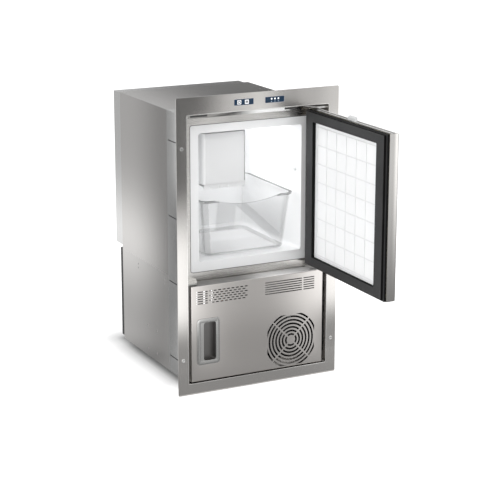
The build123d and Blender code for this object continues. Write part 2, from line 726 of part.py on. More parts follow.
for name, x in zip(("power_button", "ice_button"), BUTTON_X):
    with BuildPart() as button:
        with BuildSketch(upright(-FLANGE_THICK - DISPLAY_PROUD - BUTTON_PROUD)):
            with Locations((x - DISPLAY_OFFSET, display_z)):
                RectangleRounded(BUTTON_SIZE, BUTTON_SIZE, DISPLAY_CORNER)
        extrude(amount=-(FLANGE_THICK + DISPLAY_PROUD + BUTTON_PROUD + BUTTON_FIT))
        with BuildSketch(upright(BUTTON_FIT)):
            with Locations((x - DISPLAY_OFFSET, display_z)):
                Rectangle(BUTTON_SIZE + 2 * BUTTON_FLANGE, BUTTON_SIZE + 2 * BUTTON_FLANGE)
        extrude(amount=-BUTTON_FLANGE_THICK)
    buttons[name] = button
with BuildPart() as indicator_lenses:
    for x in LED_X:
        rod(
            (DISPLAY_OFFSET + x, -FLANGE_THICK - DISPLAY_PROUD - LED_PROUD, display_z + LED_ABOVE_MIDDLE),
            (0, 1, 0),
            LED_RADIUS,
            FLANGE_THICK + DISPLAY_PROUD + LED_PROUD,
        )

# Control box behind the flange, with its circuit board
with BuildPart() as control_box:
    block((-box_half, box_half), (-CONTROL_SEAT, CONTROL_BOX_DEPTH), box_z)
    block(
        (-box_half + CONTROL_BOX_WALL, box_half - CONTROL_BOX_WALL),
        (-CONTROL_SEAT, CONTROL_BOX_DEPTH - CONTROL_BOX_WALL),
        (box_z[0] + CONTROL_BOX_WALL, box_z[1] - CONTROL_BOX_WALL),
        Mode.SUBTRACT,
    )
with BuildPart() as control_board:
    block(
        (-box_half + CONTROL_BOX_WALL, box_half - CONTROL_BOX_WALL),
        (BOARD_FROM_FRONT, BOARD_FROM_FRONT + BOARD_THICK),
        (box_z[0] + CONTROL_BOX_WALL, box_z[1] - CONTROL_BOX_WALL),
    )

# Ice-making unit: cover, drive housing, mould, ejector, stripper, guard, arm, fill cup and hanger
cover_left_x = UNIT_X - COVER_WIDTH / 2
cover_right_x = UNIT_X + COVER_WIDTH / 2
cover_mid = (cover_bottom + cover_top) / 2
arm_pivot_x = UNIT_X + ARM_X
arm_pivot_z = shaft_z - ARM_BELOW_SHAFT
housing_width = COVER_WIDTH - 2 * COVER_WALL
housing_height = COVER_HEIGHT - 2 * COVER_WALL - HOUSING_MARGIN
with BuildPart() as unit_cover:
    with BuildSketch(upright(COVER_FRONT)):
        with Locations((UNIT_X, cover_mid)):
            Rectangle(COVER_WIDTH, COVER_HEIGHT)
    extrude(amount=-COVER_DEPTH)
    front_edges = unit_cover.faces().sort_by(Axis.Y)[0].edges()
    fillet(front_edges.filter_by(Axis.Z), COVER_CORNER)
    with BuildSketch(upright(housing_front)):
        with Locations((UNIT_X, cover_mid)):
            Rectangle(COVER_WIDTH - 2 * COVER_WALL, COVER_HEIGHT - 2 * COVER_WALL)
    inside = extrude(amount=-(COVER_DEPTH - COVER_WALL), mode=Mode.PRIVATE)
    inner_front = inside.faces().sort_by(Axis.Y)[0].edges().filter_by(Axis.Z)
    add(inside.fillet(COVER_CORNER - COVER_WALL, inner_front), mode=Mode.SUBTRACT)
with BuildPart() as drive_housing:
    with BuildSketch(upright(housing_front)):
        with Locations((UNIT_X, cover_bottom + COVER_WALL + HOUSING_MARGIN + housing_height / 2)):
            Rectangle(housing_width, housing_height)
    extrude(amount=-HOUSING_DEPTH)
    fillet(drive_housing.faces().sort_by(Axis.Y)[0].edges().filter_by(Axis.Z), COVER_CORNER - COVER_WALL)
    rod(
        (UNIT_X, mould_front - SHAFT_IN_HOUSING, shaft_z),
        (0, 1, 0),
        SHAFT_RADIUS + SHAFT_FIT,
        SHAFT_IN_HOUSING,
        Mode.SUBTRACT,
    )
    rod(
        (arm_pivot_x, mould_front - ARM_IN_HOUSING, arm_pivot_z),
        (0, 1, 0),
        ARM_WIRE + SHAFT_FIT,
        ARM_IN_HOUSING,
        Mode.SUBTRACT,
    )
with BuildPart() as ice_mould:
    with BuildSketch(upright(mould_front)):
        with Locations((UNIT_X, shaft_z)):
            Circle(mould_radius)
        with Locations((UNIT_X, mould_top + mould_radius)):
            Rectangle(2 * mould_radius, 2 * mould_radius, mode=Mode.SUBTRACT)
        with Locations((UNIT_X, mould_top - MOULD_RAIL_HEIGHT / 2)):
            Rectangle(MOULD_RAIL_WIDTH, MOULD_RAIL_HEIGHT)
    extrude(amount=-mould_length)
    for y in cell_centres:
        rod(
            (UNIT_X, y - (CELL_PITCH - CELL_WALL) / 2, shaft_z),
            (0, 1, 0),
            CELL_RADIUS,
            CELL_PITCH - CELL_WALL,
            Mode.SUBTRACT,
        )
    block(
        (UNIT_X - POST_WIDTH / 2, UNIT_X + POST_WIDTH / 2),
        (mould_rear - CELL_WALL, mould_rear),
        (mould_top, shaft_z + POST_WIDTH / 2),
    )
    rod(
        (UNIT_X, mould_rear - CELL_WALL, shaft_z),
        (0, 1, 0),
        SHAFT_RADIUS + SHAFT_FIT,
        CELL_WALL,
        Mode.SUBTRACT,
    )
    rod((UNIT_X, mould_front, shaft_z), (0, 1, 0), SHAFT_RADIUS + SHAFT_CLEAR, CELL_WALL, Mode.SUBTRACT)
shaft_front = mould_front - SHAFT_IN_HOUSING + SHAFT_CLEAR
with BuildPart() as ejector:
    rod((UNIT_X, shaft_front, shaft_z), (0, 1, 0), SHAFT_RADIUS, mould_rear - shaft_front)
    for y in cell_centres:
        block(
            (UNIT_X - FINGER_THICK / 2, UNIT_X + FINGER_THICK / 2),
            (y - FINGER_WIDTH / 2, y + FINGER_WIDTH / 2),
            (shaft_z, shaft_z + FINGER_REACH),
        )
comb_right = UNIT_X + MOULD_RAIL_WIDTH / 2
with BuildPart() as stripper:
    block((comb_right - COMB_BAR, comb_right), (mould_front, mould_rear), (mould_top, mould_top + COMB_THICK))
    for y in cell_centres[:-1]:
        block(
            (UNIT_X + SHAFT_RADIUS + COMB_GAP, comb_right),
            (y + CELL_PITCH / 2 - COMB_FINGER / 2, y + CELL_PITCH / 2 + COMB_FINGER / 2),
            (mould_top, mould_top + COMB_THICK),
        )
guard_z = cover_bottom - GUARD_DROP
guard_left = cover_left_x + GUARD_MARGIN
guard_right = cover_right_x - GUARD_MARGIN
guard_front = COVER_FRONT + GUARD_SET_BACK
with BuildPart() as drip_guard:
    block((guard_left, guard_right), (guard_front, mould_rear), (guard_z, guard_z + GUARD_THICK))
    lip_y = (guard_front, guard_front + GUARD_THICK)
    block((guard_left, guard_right), lip_y, (cover_bottom - GUARD_LIP, cover_bottom))
    for i in range(GUARD_TEETH):
        notch_x = UNIT_X + (i - (GUARD_TEETH - 1) / 2) * GUARD_TOOTH_PITCH
        block(
            (notch_x - GUARD_NOTCH / 2, notch_x + GUARD_NOTCH / 2),
            lip_y,
            (cover_bottom - GUARD_LIP, cover_bottom - GUARD_LIP + GUARD_NOTCH_HEIGHT),
            Mode.SUBTRACT,
        )
    for y in (cell_centres[1], cell_centres[-2]):
        block(
            (UNIT_X - POST_WIDTH / 2, UNIT_X + POST_WIDTH / 2),
            (y - GUARD_THICK, y + GUARD_THICK),
            (guard_z + GUARD_THICK, mould_bottom),
        )
arm_start = mould_front - ARM_IN_HOUSING + SHAFT_CLEAR
shutoff_arm = bent_tube(
    [
        (arm_pivot_x, arm_start, arm_pivot_z),
        (arm_pivot_x, mould_front + ARM_IN_HOUSING, arm_pivot_z),
        (arm_pivot_x + ARM_SWING_X, mould_front + 2 * ARM_IN_HOUSING, arm_pivot_z - ARM_SWING_Z),
        (arm_pivot_x + ARM_SWING_X, mould_front + 2 * ARM_IN_HOUSING + ARM_LENGTH, arm_pivot_z - ARM_SWING_Z),
    ],
    ARM_WIRE,
    ARM_BEND,
)
with BuildPart() as fill_cup:
    cup_x = (UNIT_X - CUP_WIDTH / 2, UNIT_X + CUP_WIDTH / 2)
    block(cup_x, (cup_front, cup_front + CUP_LENGTH), (mould_top, mould_top + CUP_HEIGHT))
    block(
        (cup_x[0] + CUP_WALL, cup_x[1] - CUP_WALL),
        (cup_front + CUP_WALL, cup_front + CUP_LENGTH - CUP_WALL),
        (mould_top + CUP_WALL, mould_top + CUP_HEIGHT),
        Mode.SUBTRACT,
    )
    block(
        (cup_x[1] - CUP_WALL - CUP_SPOUT, cup_x[1] - CUP_WALL),
        (cup_front, cup_front + CUP_WALL),
        (mould_top + CUP_WALL, mould_top + CUP_HEIGHT),
        Mode.SUBTRACT,
    )
    block(cup_x, (cup_front, cup_front + CUP_WALL), (mould_top - MOULD_RAIL_HEIGHT, mould_top))
with BuildPart() as unit_hanger:
    wall_x = -CAVITY_WIDTH / 2
    rail_z = mould_top - MOULD_RAIL_HEIGHT / 2
    block(
        (wall_x, wall_x + HANGER_THICK),
        (cell_centres[0], cell_centres[-1]),
        (mould_top - HANGER_HEIGHT / 2, mould_top + HANGER_HEIGHT / 2),
    )
    for y in (cell_centres[1], cell_centres[-2]):
        block(
            (wall_x, UNIT_X - MOULD_RAIL_WIDTH / 2),
            (y - HANGER_ARM, y + HANGER_ARM),
            (rail_z - HANGER_ARM / 2, rail_z + HANGER_ARM / 2),
        )
with BuildPart() as temperature_sensor:
    rod(
        (CAVITY_WIDTH / 2, FACE_FRONT + SENSOR_FROM_FRONT, cavity_bottom + SENSOR_ABOVE_FLOOR),
        (-1, 0, 0),
        SENSOR_RADIUS,
        SENSOR_PROUD,
    )

# Ice bin: clear tapered tub with a rolled rim and a finger dip in the front edge
bin_mid_y = bin_front + BIN_LENGTH / 2
rim_low = bin_top - BIN_RIM_THICK
with BuildPart() as ice_bin:
    for z, inset in ((bin_bottom, BIN_TAPER + BIN_RIM), (bin_top, BIN_RIM)):
        with BuildSketch(Plane.XY.offset(z)):
            with Locations((0, bin_mid_y)):
                RectangleRounded(BIN_WIDTH - 2 * inset, BIN_LENGTH - 2 * inset, BIN_CORNER)
    loft()
    fillet(ice_bin.faces().sort_by(Axis.Z)[0].edges(), BIN_BASE_EDGE)
    for z, inset in ((bin_bottom + BIN_WALL, BIN_TAPER + BIN_RIM + BIN_WALL), (bin_top, BIN_RIM + BIN_WALL)):
        with BuildSketch(Plane.XY.offset(z)):
            with Locations((0, bin_mid_y)):
                RectangleRounded(BIN_WIDTH - 2 * inset, BIN_LENGTH - 2 * inset, BIN_CORNER - BIN_WALL)
    hollow = loft(mode=Mode.PRIVATE)
    hollow_base = hollow.faces().sort_by(Axis.Z)[0].edges()
    add(hollow.fillet(BIN_BASE_EDGE - BIN_WALL, hollow_base), mode=Mode.SUBTRACT)
    with BuildSketch(Plane.XY.offset(rim_low)):
        with Locations((0, bin_mid_y)):
            RectangleRounded(BIN_WIDTH, BIN_LENGTH, BIN_CORNER + BIN_RIM)
            RectangleRounded(
                BIN_WIDTH - 2 * BIN_RIM - BIN_WALL,
                BIN_LENGTH - 2 * BIN_RIM - BIN_WALL,
                BIN_CORNER,
                mode=Mode.SUBTRACT,
            )
    extrude(amount=BIN_RIM_THICK)
    with BuildSketch(upright(bin_front)):
        with BuildLine():
            ThreePointArc((-BIN_DIP_WIDTH / 2, bin_top), (0, bin_top - BIN_DIP), (BIN_DIP_WIDTH / 2, bin_top))
            Line((BIN_DIP_WIDTH / 2, bin_top), (-BIN_DIP_WIDTH / 2, bin_top))
        make_face()
    extrude(amount=-(BIN_RIM + BIN_TAPER + BIN_WALL), mode=Mode.SUBTRACT)

# Cooling unit: condenser, fan in its shroud, compressor on rubber mounts, drier and lines
condenser_x = (GRILLE_X - CONDENSER_WIDTH / 2, GRILLE_X + CONDENSER_WIDTH / 2)
condenser_z = (unit_floor, unit_floor + CONDENSER_HEIGHT)
fin_pitch = (CONDENSER_WIDTH - 2 * END_PLATE) / (FIN_COUNT + 1)
tube_pitch_z = CONDENSER_HEIGHT / TUBE_ROWS
tube_pitch_y = CONDENSER_DEPTH / TUBE_COLUMNS
discharge_x = condenser_x[1] - LINE_INSET
liquid_x = condenser_x[0] + LINE_INSET
with BuildPart() as condenser:
    for column in range(TUBE_COLUMNS):
        for row in range(TUBE_ROWS):
            y = condenser_front + tube_pitch_y * (column + 0.5)
            z = condenser_z[0] + tube_pitch_z * (row + 0.5)
            rod((condenser_x[0], y, z), (1, 0, 0), TUBE_RADIUS, CONDENSER_WIDTH)
    for x in (condenser_x[0], condenser_x[1] - END_PLATE):
        block((x, x + END_PLATE), (condenser_front, condenser_rear), condenser_z)
    for i in range(FIN_COUNT):
        x = condenser_x[0] + END_PLATE + fin_pitch * (i + 1)
        block(
            (x - FIN_THICK / 2, x + FIN_THICK / 2),
            (condenser_front + END_PLATE, condenser_rear),
            (condenser_z[0] + END_PLATE, condenser_z[1] - END_PLATE),
        )
    stub_start = condenser_rear - CONDENSER_DEPTH / 2
    for x, z in ((discharge_x, DISCHARGE_Z), (liquid_x, LIQUID_Z)):
        rod((x, stub_start, z), (0, 1, 0), LINE_RADIUS, CONDENSER_DEPTH / 2 + STUB_LENGTH)
ring_inner = FAN_RADIUS + FAN_CLEAR
with BuildPart() as fan_shroud:
    with BuildSketch(upright(fan_rear)):
        with Locations((GRILLE_X, (condenser_z[0] + condenser_z[1]) / 2)):
            Rectangle(CONDENSER_WIDTH, CONDENSER_HEIGHT)
        with Locations((GRILLE_X, GRILLE_Z)):
            Circle(ring_inner, mode=Mode.SUBTRACT)
    extrude(amount=-SHROUD_PLATE)
    with BuildSketch(upright(FAN_FRONT)):
        with Locations((GRILLE_X, GRILLE_Z)):
            Circle(ring_inner + FAN_RING)
            Circle(ring_inner, mode=Mode.SUBTRACT)
    extrude(amount=-FAN_RING_DEPTH)
hub_rear = FAN_FRONT + HUB_DEPTH
motor_front = hub_rear + FAN_MOTOR_GAP
with BuildPart() as fan_motor:
    rod((GRILLE_X, motor_front, GRILLE_Z), (0, 1, 0), FAN_MOTOR_RADIUS, FAN_MOTOR_DEPTH)
    shaft_length = FAN_SHAFT_REACH + 2 * FAN_MOTOR_GAP
    rod((GRILLE_X, hub_rear - FAN_SHAFT_REACH, GRILLE_Z), (0, 1, 0), FAN_SHAFT, shaft_length)
    with BuildSketch(upright(fan_rear)):
        with Locations((GRILLE_X, GRILLE_Z)):
            for turn in (45, 135):
                Rectangle(2 * ring_inner + FAN_RING, FAN_ARM, rotation=turn)
            Circle(ring_inner, mode=Mode.INTERSECT)
    extrude(amount=FAN_ARM_DEPTH)
with BuildPart() as fan_rotor:
    rod((GRILLE_X, FAN_FRONT, GRILLE_Z), (0, 1, 0), HUB_RADIUS, HUB_DEPTH)
    blade_span = FAN_RADIUS - BLADE_ROOT
    for i in range(BLADE_COUNT):
        turn = radians(90 + 360 * i / BLADE_COUNT)
        outward = (cos(turn), 0, sin(turn))
        root = (
            GRILLE_X + cos(turn) * BLADE_ROOT,
            FAN_FRONT + HUB_DEPTH / 2,
            GRILLE_Z + sin(turn) * BLADE_ROOT,
        )
        blade_root = Plane(origin=root, x_dir=(0, 1, 0), z_dir=outward).location
        with Locations(blade_root * Rotation(0, 0, BLADE_PITCH)):
            Box(BLADE_THICK, BLADE_CHORD, blade_span, align=(Align.CENTER, Align.CENTER, Align.MIN))
    with BuildSketch(upright(FAN_FRONT - BLADE_CHORD)):
        with Locations((GRILLE_X, GRILLE_Z)):
            Circle(FAN_RADIUS)
    extrude(amount=-(HUB_DEPTH + 2 * BLADE_CHORD), mode=Mode.INTERSECT)
    rod(
        (GRILLE_X, hub_rear - FAN_SHAFT_REACH - FAN_MOTOR_GAP, GRILLE_Z),
        (0, 1, 0),
        FAN_SHAFT + PIN_FIT,
        FAN_SHAFT_REACH + FAN_MOTOR_GAP,
        Mode.SUBTRACT,
    )
mount_x = FOOT_LENGTH / 2 - MOUNT_INSET
mount_y = FOOT_WIDTH / 2 - MOUNT_INSET
shell_top = shell_bottom + COMPRESSOR_HEIGHT
with BuildPart() as compressor:
    with BuildSketch(Plane.XZ.offset(-COMPRESSOR_Y)):
        with BuildLine():
            flat = COMPRESSOR_FLAT
            seam_z = shell_bottom + COMPRESSOR_HEIGHT / 2
            x = COMPRESSOR_X
            Line((x, shell_bottom), (x + flat, shell_bottom))
            EllipticalCenterArc(
                (x + flat, shell_bottom + COMPRESSOR_DOME),
                COMPRESSOR_RADIUS - flat,
                COMPRESSOR_DOME,
                start_angle=270,
                arc_size=90,
            )
            Polyline(
                (x + COMPRESSOR_RADIUS, shell_bottom + COMPRESSOR_DOME),
                (x + COMPRESSOR_RADIUS, seam_z),
                (x + COMPRESSOR_RADIUS + COMPRESSOR_SEAM, seam_z),
                (x + COMPRESSOR_RADIUS + COMPRESSOR_SEAM, seam_z + COMPRESSOR_SEAM),
                (x + COMPRESSOR_RADIUS, seam_z + COMPRESSOR_SEAM),
                (x + COMPRESSOR_RADIUS, shell_top - COMPRESSOR_DOME),
            )
            EllipticalCenterArc(
                (x + flat, shell_top - COMPRESSOR_DOME),
                COMPRESSOR_RADIUS - flat,
                COMPRESSOR_DOME,
                start_angle=0,
                arc_size=90,
            )
            Polyline((x + flat, shell_top), (x, shell_top), (x, shell_bottom))
        make_face()
    revolve(axis=Axis((COMPRESSOR_X, COMPRESSOR_Y, 0), (0, 0, 1)))
    with BuildSketch(Plane.XY.offset(shell_bottom - FOOT_PLATE)):
        with Locations((COMPRESSOR_X, COMPRESSOR_Y)):
            RectangleRounded(FOOT_LENGTH, FOOT_WIDTH, MOUNT_INSET)
    extrude(amount=FOOT_PLATE)
    rod(
        (COMPRESSOR_X, COMPRESSOR_Y, DISCHARGE_Z),
        (0, -1, 0),
        LINE_RADIUS,
        COMPRESSOR_RADIUS + STUB_LENGTH,
    )
    rod((COMPRESSOR_X, COMPRESSOR_Y, SUCTION_Z), (-1, 0, 0), LINE_RADIUS, COMPRESSOR_RADIUS + STUB_LENGTH)
with BuildPart() as compressor_mounts:
    with Locations((COMPRESSOR_X, COMPRESSOR_Y, unit_floor)):
        with GridLocations(2 * mount_x, 2 * mount_y, 2, 2):
            Cylinder(MOUNT_RADIUS, MOUNT_HEIGHT, align=(Align.CENTER, Align.CENTER, Align.MIN))
discharge_y = COMPRESSOR_Y - COMPRESSOR_RADIUS - STUB_LENGTH
line_mid_y = (condenser_rear + STUB_LENGTH + discharge_y) / 2
discharge_line = bent_tube(
    [
        (COMPRESSOR_X, discharge_y, DISCHARGE_Z),
        (COMPRESSOR_X, line_mid_y, DISCHARGE_Z),
        (discharge_x, line_mid_y, DISCHARGE_Z),
        (discharge_x, condenser_rear + STUB_LENGTH, DISCHARGE_Z),
    ],
    LINE_RADIUS,
    LINE_BEND,
)
suction_line = bent_tube(
    [
        (COMPRESSOR_X - COMPRESSOR_RADIUS - STUB_LENGTH, COMPRESSOR_Y, SUCTION_Z),
        (coil_left, COMPRESSOR_Y, SUCTION_Z),
        (coil_left, riser_y, SUCTION_Z),
        (coil_left, riser_y, coil_entry_z),
    ],
    LINE_RADIUS,
    LINE_BEND,
)
liquid_line = bent_tube(
    [
        (liquid_x, condenser_rear + STUB_LENGTH, LIQUID_Z),
        (liquid_x, DRIER_Y, LIQUID_Z),
        (DRIER_X, DRIER_Y, LIQUID_Z),
        (DRIER_X, DRIER_Y, DRIER_BOTTOM - STUB_LENGTH),
    ],
    LINE_RADIUS,
    LINE_BEND,
)
drier_top = DRIER_BOTTOM + DRIER_LENGTH
with BuildPart() as filter_drier:
    rod((DRIER_X, DRIER_Y, DRIER_BOTTOM), (0, 0, 1), DRIER_RADIUS, DRIER_LENGTH)
    fillet(filter_drier.edges().filter_by(GeomType.CIRCLE), DRIER_CORNER)
    rod((DRIER_X, DRIER_Y, DRIER_BOTTOM), (0, 0, -1), LINE_RADIUS, STUB_LENGTH)
    rod((DRIER_X, DRIER_Y, drier_top), (0, 0, 1), CAPILLARY_RADIUS, STUB_LENGTH)
capillary = bent_tube(
    [
        (DRIER_X, DRIER_Y, drier_top + STUB_LENGTH),
        (DRIER_X, DRIER_Y, capillary_z),
        (DRIER_X, riser_y, capillary_z),
        (coil_down_x, riser_y, capillary_z),
        (coil_down_x, riser_y, coil_entry_z),
    ],
    CAPILLARY_RADIUS,
    LINE_BEND,
)
with BuildPart() as copper_lines:
    for line in (discharge_line, suction_line, liquid_line, capillary):
        add(line.part)
coil_points = [(coil_left, riser_y, coil_entry_z)]
for run in range(COIL_RUNS):
    z = coil_bottom + run * COIL_PITCH
    ends = (coil_left, -coil_left) if run % 2 == 0 else (-coil_left, coil_left)
    coil_points += [(ends[0], riser_y, z), (ends[1], riser_y, z)]
coil_end_z = coil_bottom + COIL_RUNS * COIL_PITCH
coil_points += [
    (coil_left, riser_y, coil_end_z),
    (coil_down_x, riser_y, coil_end_z),
    (coil_down_x, riser_y, coil_entry_z),
]
evaporator_z = pocket_bottom + POCKET_ROOM
evaporator_coil = bent_tube(coil_points, COIL_RADIUS, COIL_BEND)
with BuildPart() as evaporator:
    block(
        (-EVAPORATOR_WIDTH / 2, EVAPORATOR_WIDTH / 2),
        (cavity_rear + LINER_THICK, cavity_rear + LINER_THICK + EVAPORATOR_THICK),
        (evaporator_z, evaporator_z + EVAPORATOR_HEIGHT),
    )
    add(evaporator_coil.part)
with BuildPart() as power_module:
    module_x = (-inner_half, -inner_half + MODULE_WIDTH)
    module_y = (MODULE_FRONT, MODULE_FRONT + MODULE_LENGTH)
    block(module_x, module_y, (MODULE_BOTTOM, MODULE_BOTTOM + MODULE_HEIGHT))
    fin_step = MODULE_LENGTH / MODULE_FINS
    for i in range(MODULE_FINS):
        y = MODULE_FRONT + fin_step * (i + 0.5)
        block(
            (module_x[1], module_x[1] + MODULE_FIN_HEIGHT),
            (y - MODULE_FIN / 2, y + MODULE_FIN / 2),
            (MODULE_BOTTOM, MODULE_BOTTOM + MODULE_HEIGHT),
        )

# Water valve on the rear panel and the tube that fills the mould
with BuildPart() as water_valve:
    block(
        (UNIT_X - VALVE_WIDTH / 2, UNIT_X + VALVE_WIDTH / 2),
        (body_rear, valve_y + COIL_CAN_RADIUS),
        (valve_bottom, valve_bottom + VALVE_HEIGHT),
    )
    can_start = (UNIT_X + VALVE_WIDTH / 2, valve_y, valve_bottom + VALVE_HEIGHT / 2)
    rod(can_start, (1, 0, 0), COIL_CAN_RADIUS, COIL_CAN_LENGTH)
    inlet_low = rear_cover_bottom - INLET_PROUD
    rod((UNIT_X, valve_y, inlet_low), (0, 0, 1), INLET_RADIUS, valve_bottom - inlet_low)
    rod((UNIT_X, valve_y, inlet_low), (0, 0, 1), INLET_BORE, valve_bottom - inlet_low, Mode.SUBTRACT)
fill_tube = bent_tube(
    [
        (UNIT_X, valve_y, valve_bottom + VALVE_HEIGHT),
        (UNIT_X, valve_y, fill_z),
        (UNIT_X, fill_end, fill_z),
    ],
    FILL_RADIUS,
    FILL_BEND,
    FILL_RADIUS - FILL_WALL,
)

# Door: steel pan, foam core, gridded inner panel, seal, bushes, finger pull and travel catch
catch_front = door_front + CATCH_FROM_FRONT
catch_rear = catch_front + CATCH_THICK
bush_radius = PIN_RADIUS + PIN_FIT + BUSH_WALL
socket_x = CATCH_WIDTH / 2 + CATCH_FIT + SOCKET_WALL
socket_y = (catch_front - CATCH_FIT - SOCKET_WALL, catch_rear + CATCH_FIT + SOCKET_WALL)
socket_z = (door_top - SOCKET_DEPTH, door_top)
door_pull_x = -door_half + PULL_FROM_EDGE
cup_half_height = PULL_MOUTH_HEIGHT / 2 + PULL_WALL


def cup_span(x):
    """Outer left and right of the cup behind a finger pull whose plate is centred at x."""
    middle = x + PULL_MOUTH_SHIFT
    return (
        middle - PULL_MOUTH_WIDTH / 2 - PULL_UNDERCUT - PULL_WALL,
        middle + PULL_MOUTH_WIDTH / 2 + PULL_WALL,
    )


def finger_pull(x, z, front):
    """Plate on the front face with a mouth, and a cup behind that undercuts the plate on the left."""
    left, right = cup_span(x)
    with BuildPart() as pull:
        block((left, right), (front, front + PULL_DEPTH), (z - cup_half_height, z + cup_half_height))
        fillet(pull.edges().filter_by(Axis.Y), PULL_MOUTH_CORNER)
        with BuildSketch(upright(front)):
            with Locations((x, z)):
                RectangleRounded(PULL_PLATE_WIDTH, PULL_PLATE_HEIGHT, PULL_PLATE_CORNER)
        extrude(amount=PULL_PLATE_THICK)
        with BuildSketch(upright(front - PULL_PLATE_THICK)):
            with Locations((x + PULL_MOUTH_SHIFT, z)):
                RectangleRounded(PULL_MOUTH_WIDTH, PULL_MOUTH_HEIGHT, PULL_MOUTH_CORNER)
        extrude(amount=-(PULL_PLATE_THICK + PULL_DEPTH - PULL_WALL), mode=Mode.SUBTRACT)
        block(
            (left + PULL_WALL, x + PULL_MOUTH_SHIFT),
            (front + PULL_WALL, front + PULL_DEPTH - PULL_WALL),
            (z - PULL_MOUTH_HEIGHT / 2 + PULL_MOUTH_CORNER, z + PULL_MOUTH_HEIGHT / 2 - PULL_MOUTH_CORNER),
            Mode.SUBTRACT,
        )
    return pull


with BuildPart() as door_core:
    block(
        (-door_half + DOOR_SHEET, door_half - DOOR_SHEET),
        (door_front + DOOR_SHEET, pan_rear),
        (door_bottom + DOOR_SHEET, door_top - DOOR_SHEET),
    )
    fillet(door_core.faces().sort_by(Axis.Y)[0].edges(), PAN_EDGE - DOOR_SHEET)
with BuildPart() as door_skin:
    block((-door_half, door_half), (door_front, pan_rear), (door_bottom, door_top))
    fillet(door_skin.faces().sort_by(Axis.Y)[0].edges(), PAN_EDGE)
    add(door_core.part, mode=Mode.SUBTRACT)
    rod((hinge_x, hinge_y, door_bottom), (0, 0, 1), bush_radius, BUSH_LENGTH, Mode.SUBTRACT)
    rod((hinge_x, hinge_y, door_top), (0, 0, -1), bush_radius, BUSH_LENGTH, Mode.SUBTRACT)
    block((-socket_x, socket_x), socket_y, (door_top - DOOR_SHEET, door_top), Mode.SUBTRACT)
    with BuildSketch(upright(door_front)):
        with Locations((sum(cup_span(door_pull_x)) / 2, door_mid)):
            RectangleRounded(
                cup_span(door_pull_x)[1] - cup_span(door_pull_x)[0], 2 * cup_half_height, PULL_MOUTH_CORNER
            )
    extrude(amount=-DOOR_SHEET, mode=Mode.SUBTRACT)
with BuildPart() as door_foam:
    add(door_core.part)
    rod((hinge_x, hinge_y, door_bottom), (0, 0, 1), bush_radius, BUSH_LENGTH, Mode.SUBTRACT)
    rod((hinge_x, hinge_y, door_top), (0, 0, -1), bush_radius, BUSH_LENGTH, Mode.SUBTRACT)
    block((-socket_x, socket_x), socket_y, socket_z, Mode.SUBTRACT)
    with BuildSketch(upright(door_front)):
        with Locations((sum(cup_span(door_pull_x)) / 2, door_mid)):
            RectangleRounded(
                cup_span(door_pull_x)[1] - cup_span(door_pull_x)[0], 2 * cup_half_height, PULL_MOUTH_CORNER
            )
    extrude(amount=-PULL_DEPTH, mode=Mode.SUBTRACT)
inner_panel_half = door_half - PANEL_INSET_SIDE - INNER_PANEL_GAP
inner_panel_z = (
    door_bottom + PANEL_INSET_END + INNER_PANEL_GAP,
    door_top - PANEL_INSET_END - INNER_PANEL_GAP,
)
grid_x = 2 * (inner_panel_half - GRID_MARGIN) / GRID_COLUMNS
grid_z = (inner_panel_z[1] - inner_panel_z[0] - 2 * GRID_MARGIN) / GRID_ROWS
with BuildPart() as door_inner_panel:
    block((-inner_panel_half, inner_panel_half), (pan_rear, pan_rear + INNER_PANEL_DEPTH), inner_panel_z)
    with BuildSketch(upright(pan_rear + INNER_PANEL_DEPTH)):
        with Locations((0, door_mid)):
            with GridLocations(grid_x, 0, GRID_COLUMNS + 1, 1):
                Rectangle(GRID_GROOVE, GRID_ROWS * grid_z + GRID_GROOVE)
            with GridLocations(0, grid_z, 1, GRID_ROWS + 1):
                Rectangle(GRID_COLUMNS * grid_x + GRID_GROOVE, GRID_GROOVE)
    extrude(amount=GRID_DEPTH, mode=Mode.SUBTRACT)
seal_hole = (2 * (door_half - PANEL_INSET_SIDE), door_top - door_bottom - 2 * PANEL_INSET_END)
seal_height = door_top - door_bottom - 2 * GASKET_END_INSET
seal_step = GASKET_LIP_INSET - GASKET_BASE_INSET
with BuildPart() as door_seal:
    with BuildSketch(upright(pan_rear)):
        with Locations((0, door_mid)):
            Rectangle(2 * (door_half - GASKET_BASE_INSET), seal_height)
            Rectangle(*seal_hole, mode=Mode.SUBTRACT)
    extrude(amount=-GASKET_BASE)
    with BuildSketch(upright(pan_rear + GASKET_BASE)):
        with Locations((0, door_mid)):
            Rectangle(2 * (door_half - GASKET_LIP_INSET), seal_height - seal_step)
            Rectangle(*seal_hole, mode=Mode.SUBTRACT)
    extrude(amount=-GASKET_LIP)
with BuildPart() as door_bushes:
    for z in (door_bottom, door_top - BUSH_LENGTH):
        rod((hinge_x, hinge_y, z), (0, 0, 1), bush_radius, BUSH_LENGTH)
        rod((hinge_x, hinge_y, z), (0, 0, 1), PIN_RADIUS + PIN_FIT, BUSH_LENGTH, Mode.SUBTRACT)
door_pull = finger_pull(door_pull_x, door_mid, door_front)
with BuildPart() as catch_socket:
    block((-socket_x, socket_x), socket_y, socket_z)
    block(
        (-socket_x + SOCKET_WALL, socket_x - SOCKET_WALL),
        (socket_y[0] + SOCKET_WALL, socket_y[1] - SOCKET_WALL),
        (socket_z[0] + SOCKET_WALL, socket_z[1]),
        Mode.SUBTRACT,
    )
with BuildPart() as travel_catch:
    with BuildSketch(Plane.YZ.offset(-CATCH_WIDTH / 2)):
        with BuildLine():
            Polyline(
                (catch_front, door_top - CATCH_IN_DOOR),
                (catch_rear, door_top - CATCH_IN_DOOR),
                (catch_rear, door_top + CATCH_PROUD - CATCH_BEVEL),
                (catch_rear - CATCH_BEVEL, door_top + CATCH_PROUD),
                (catch_front, door_top + CATCH_PROUD),
                close=True,
            )
        make_face()
    extrude(amount=CATCH_WIDTH)

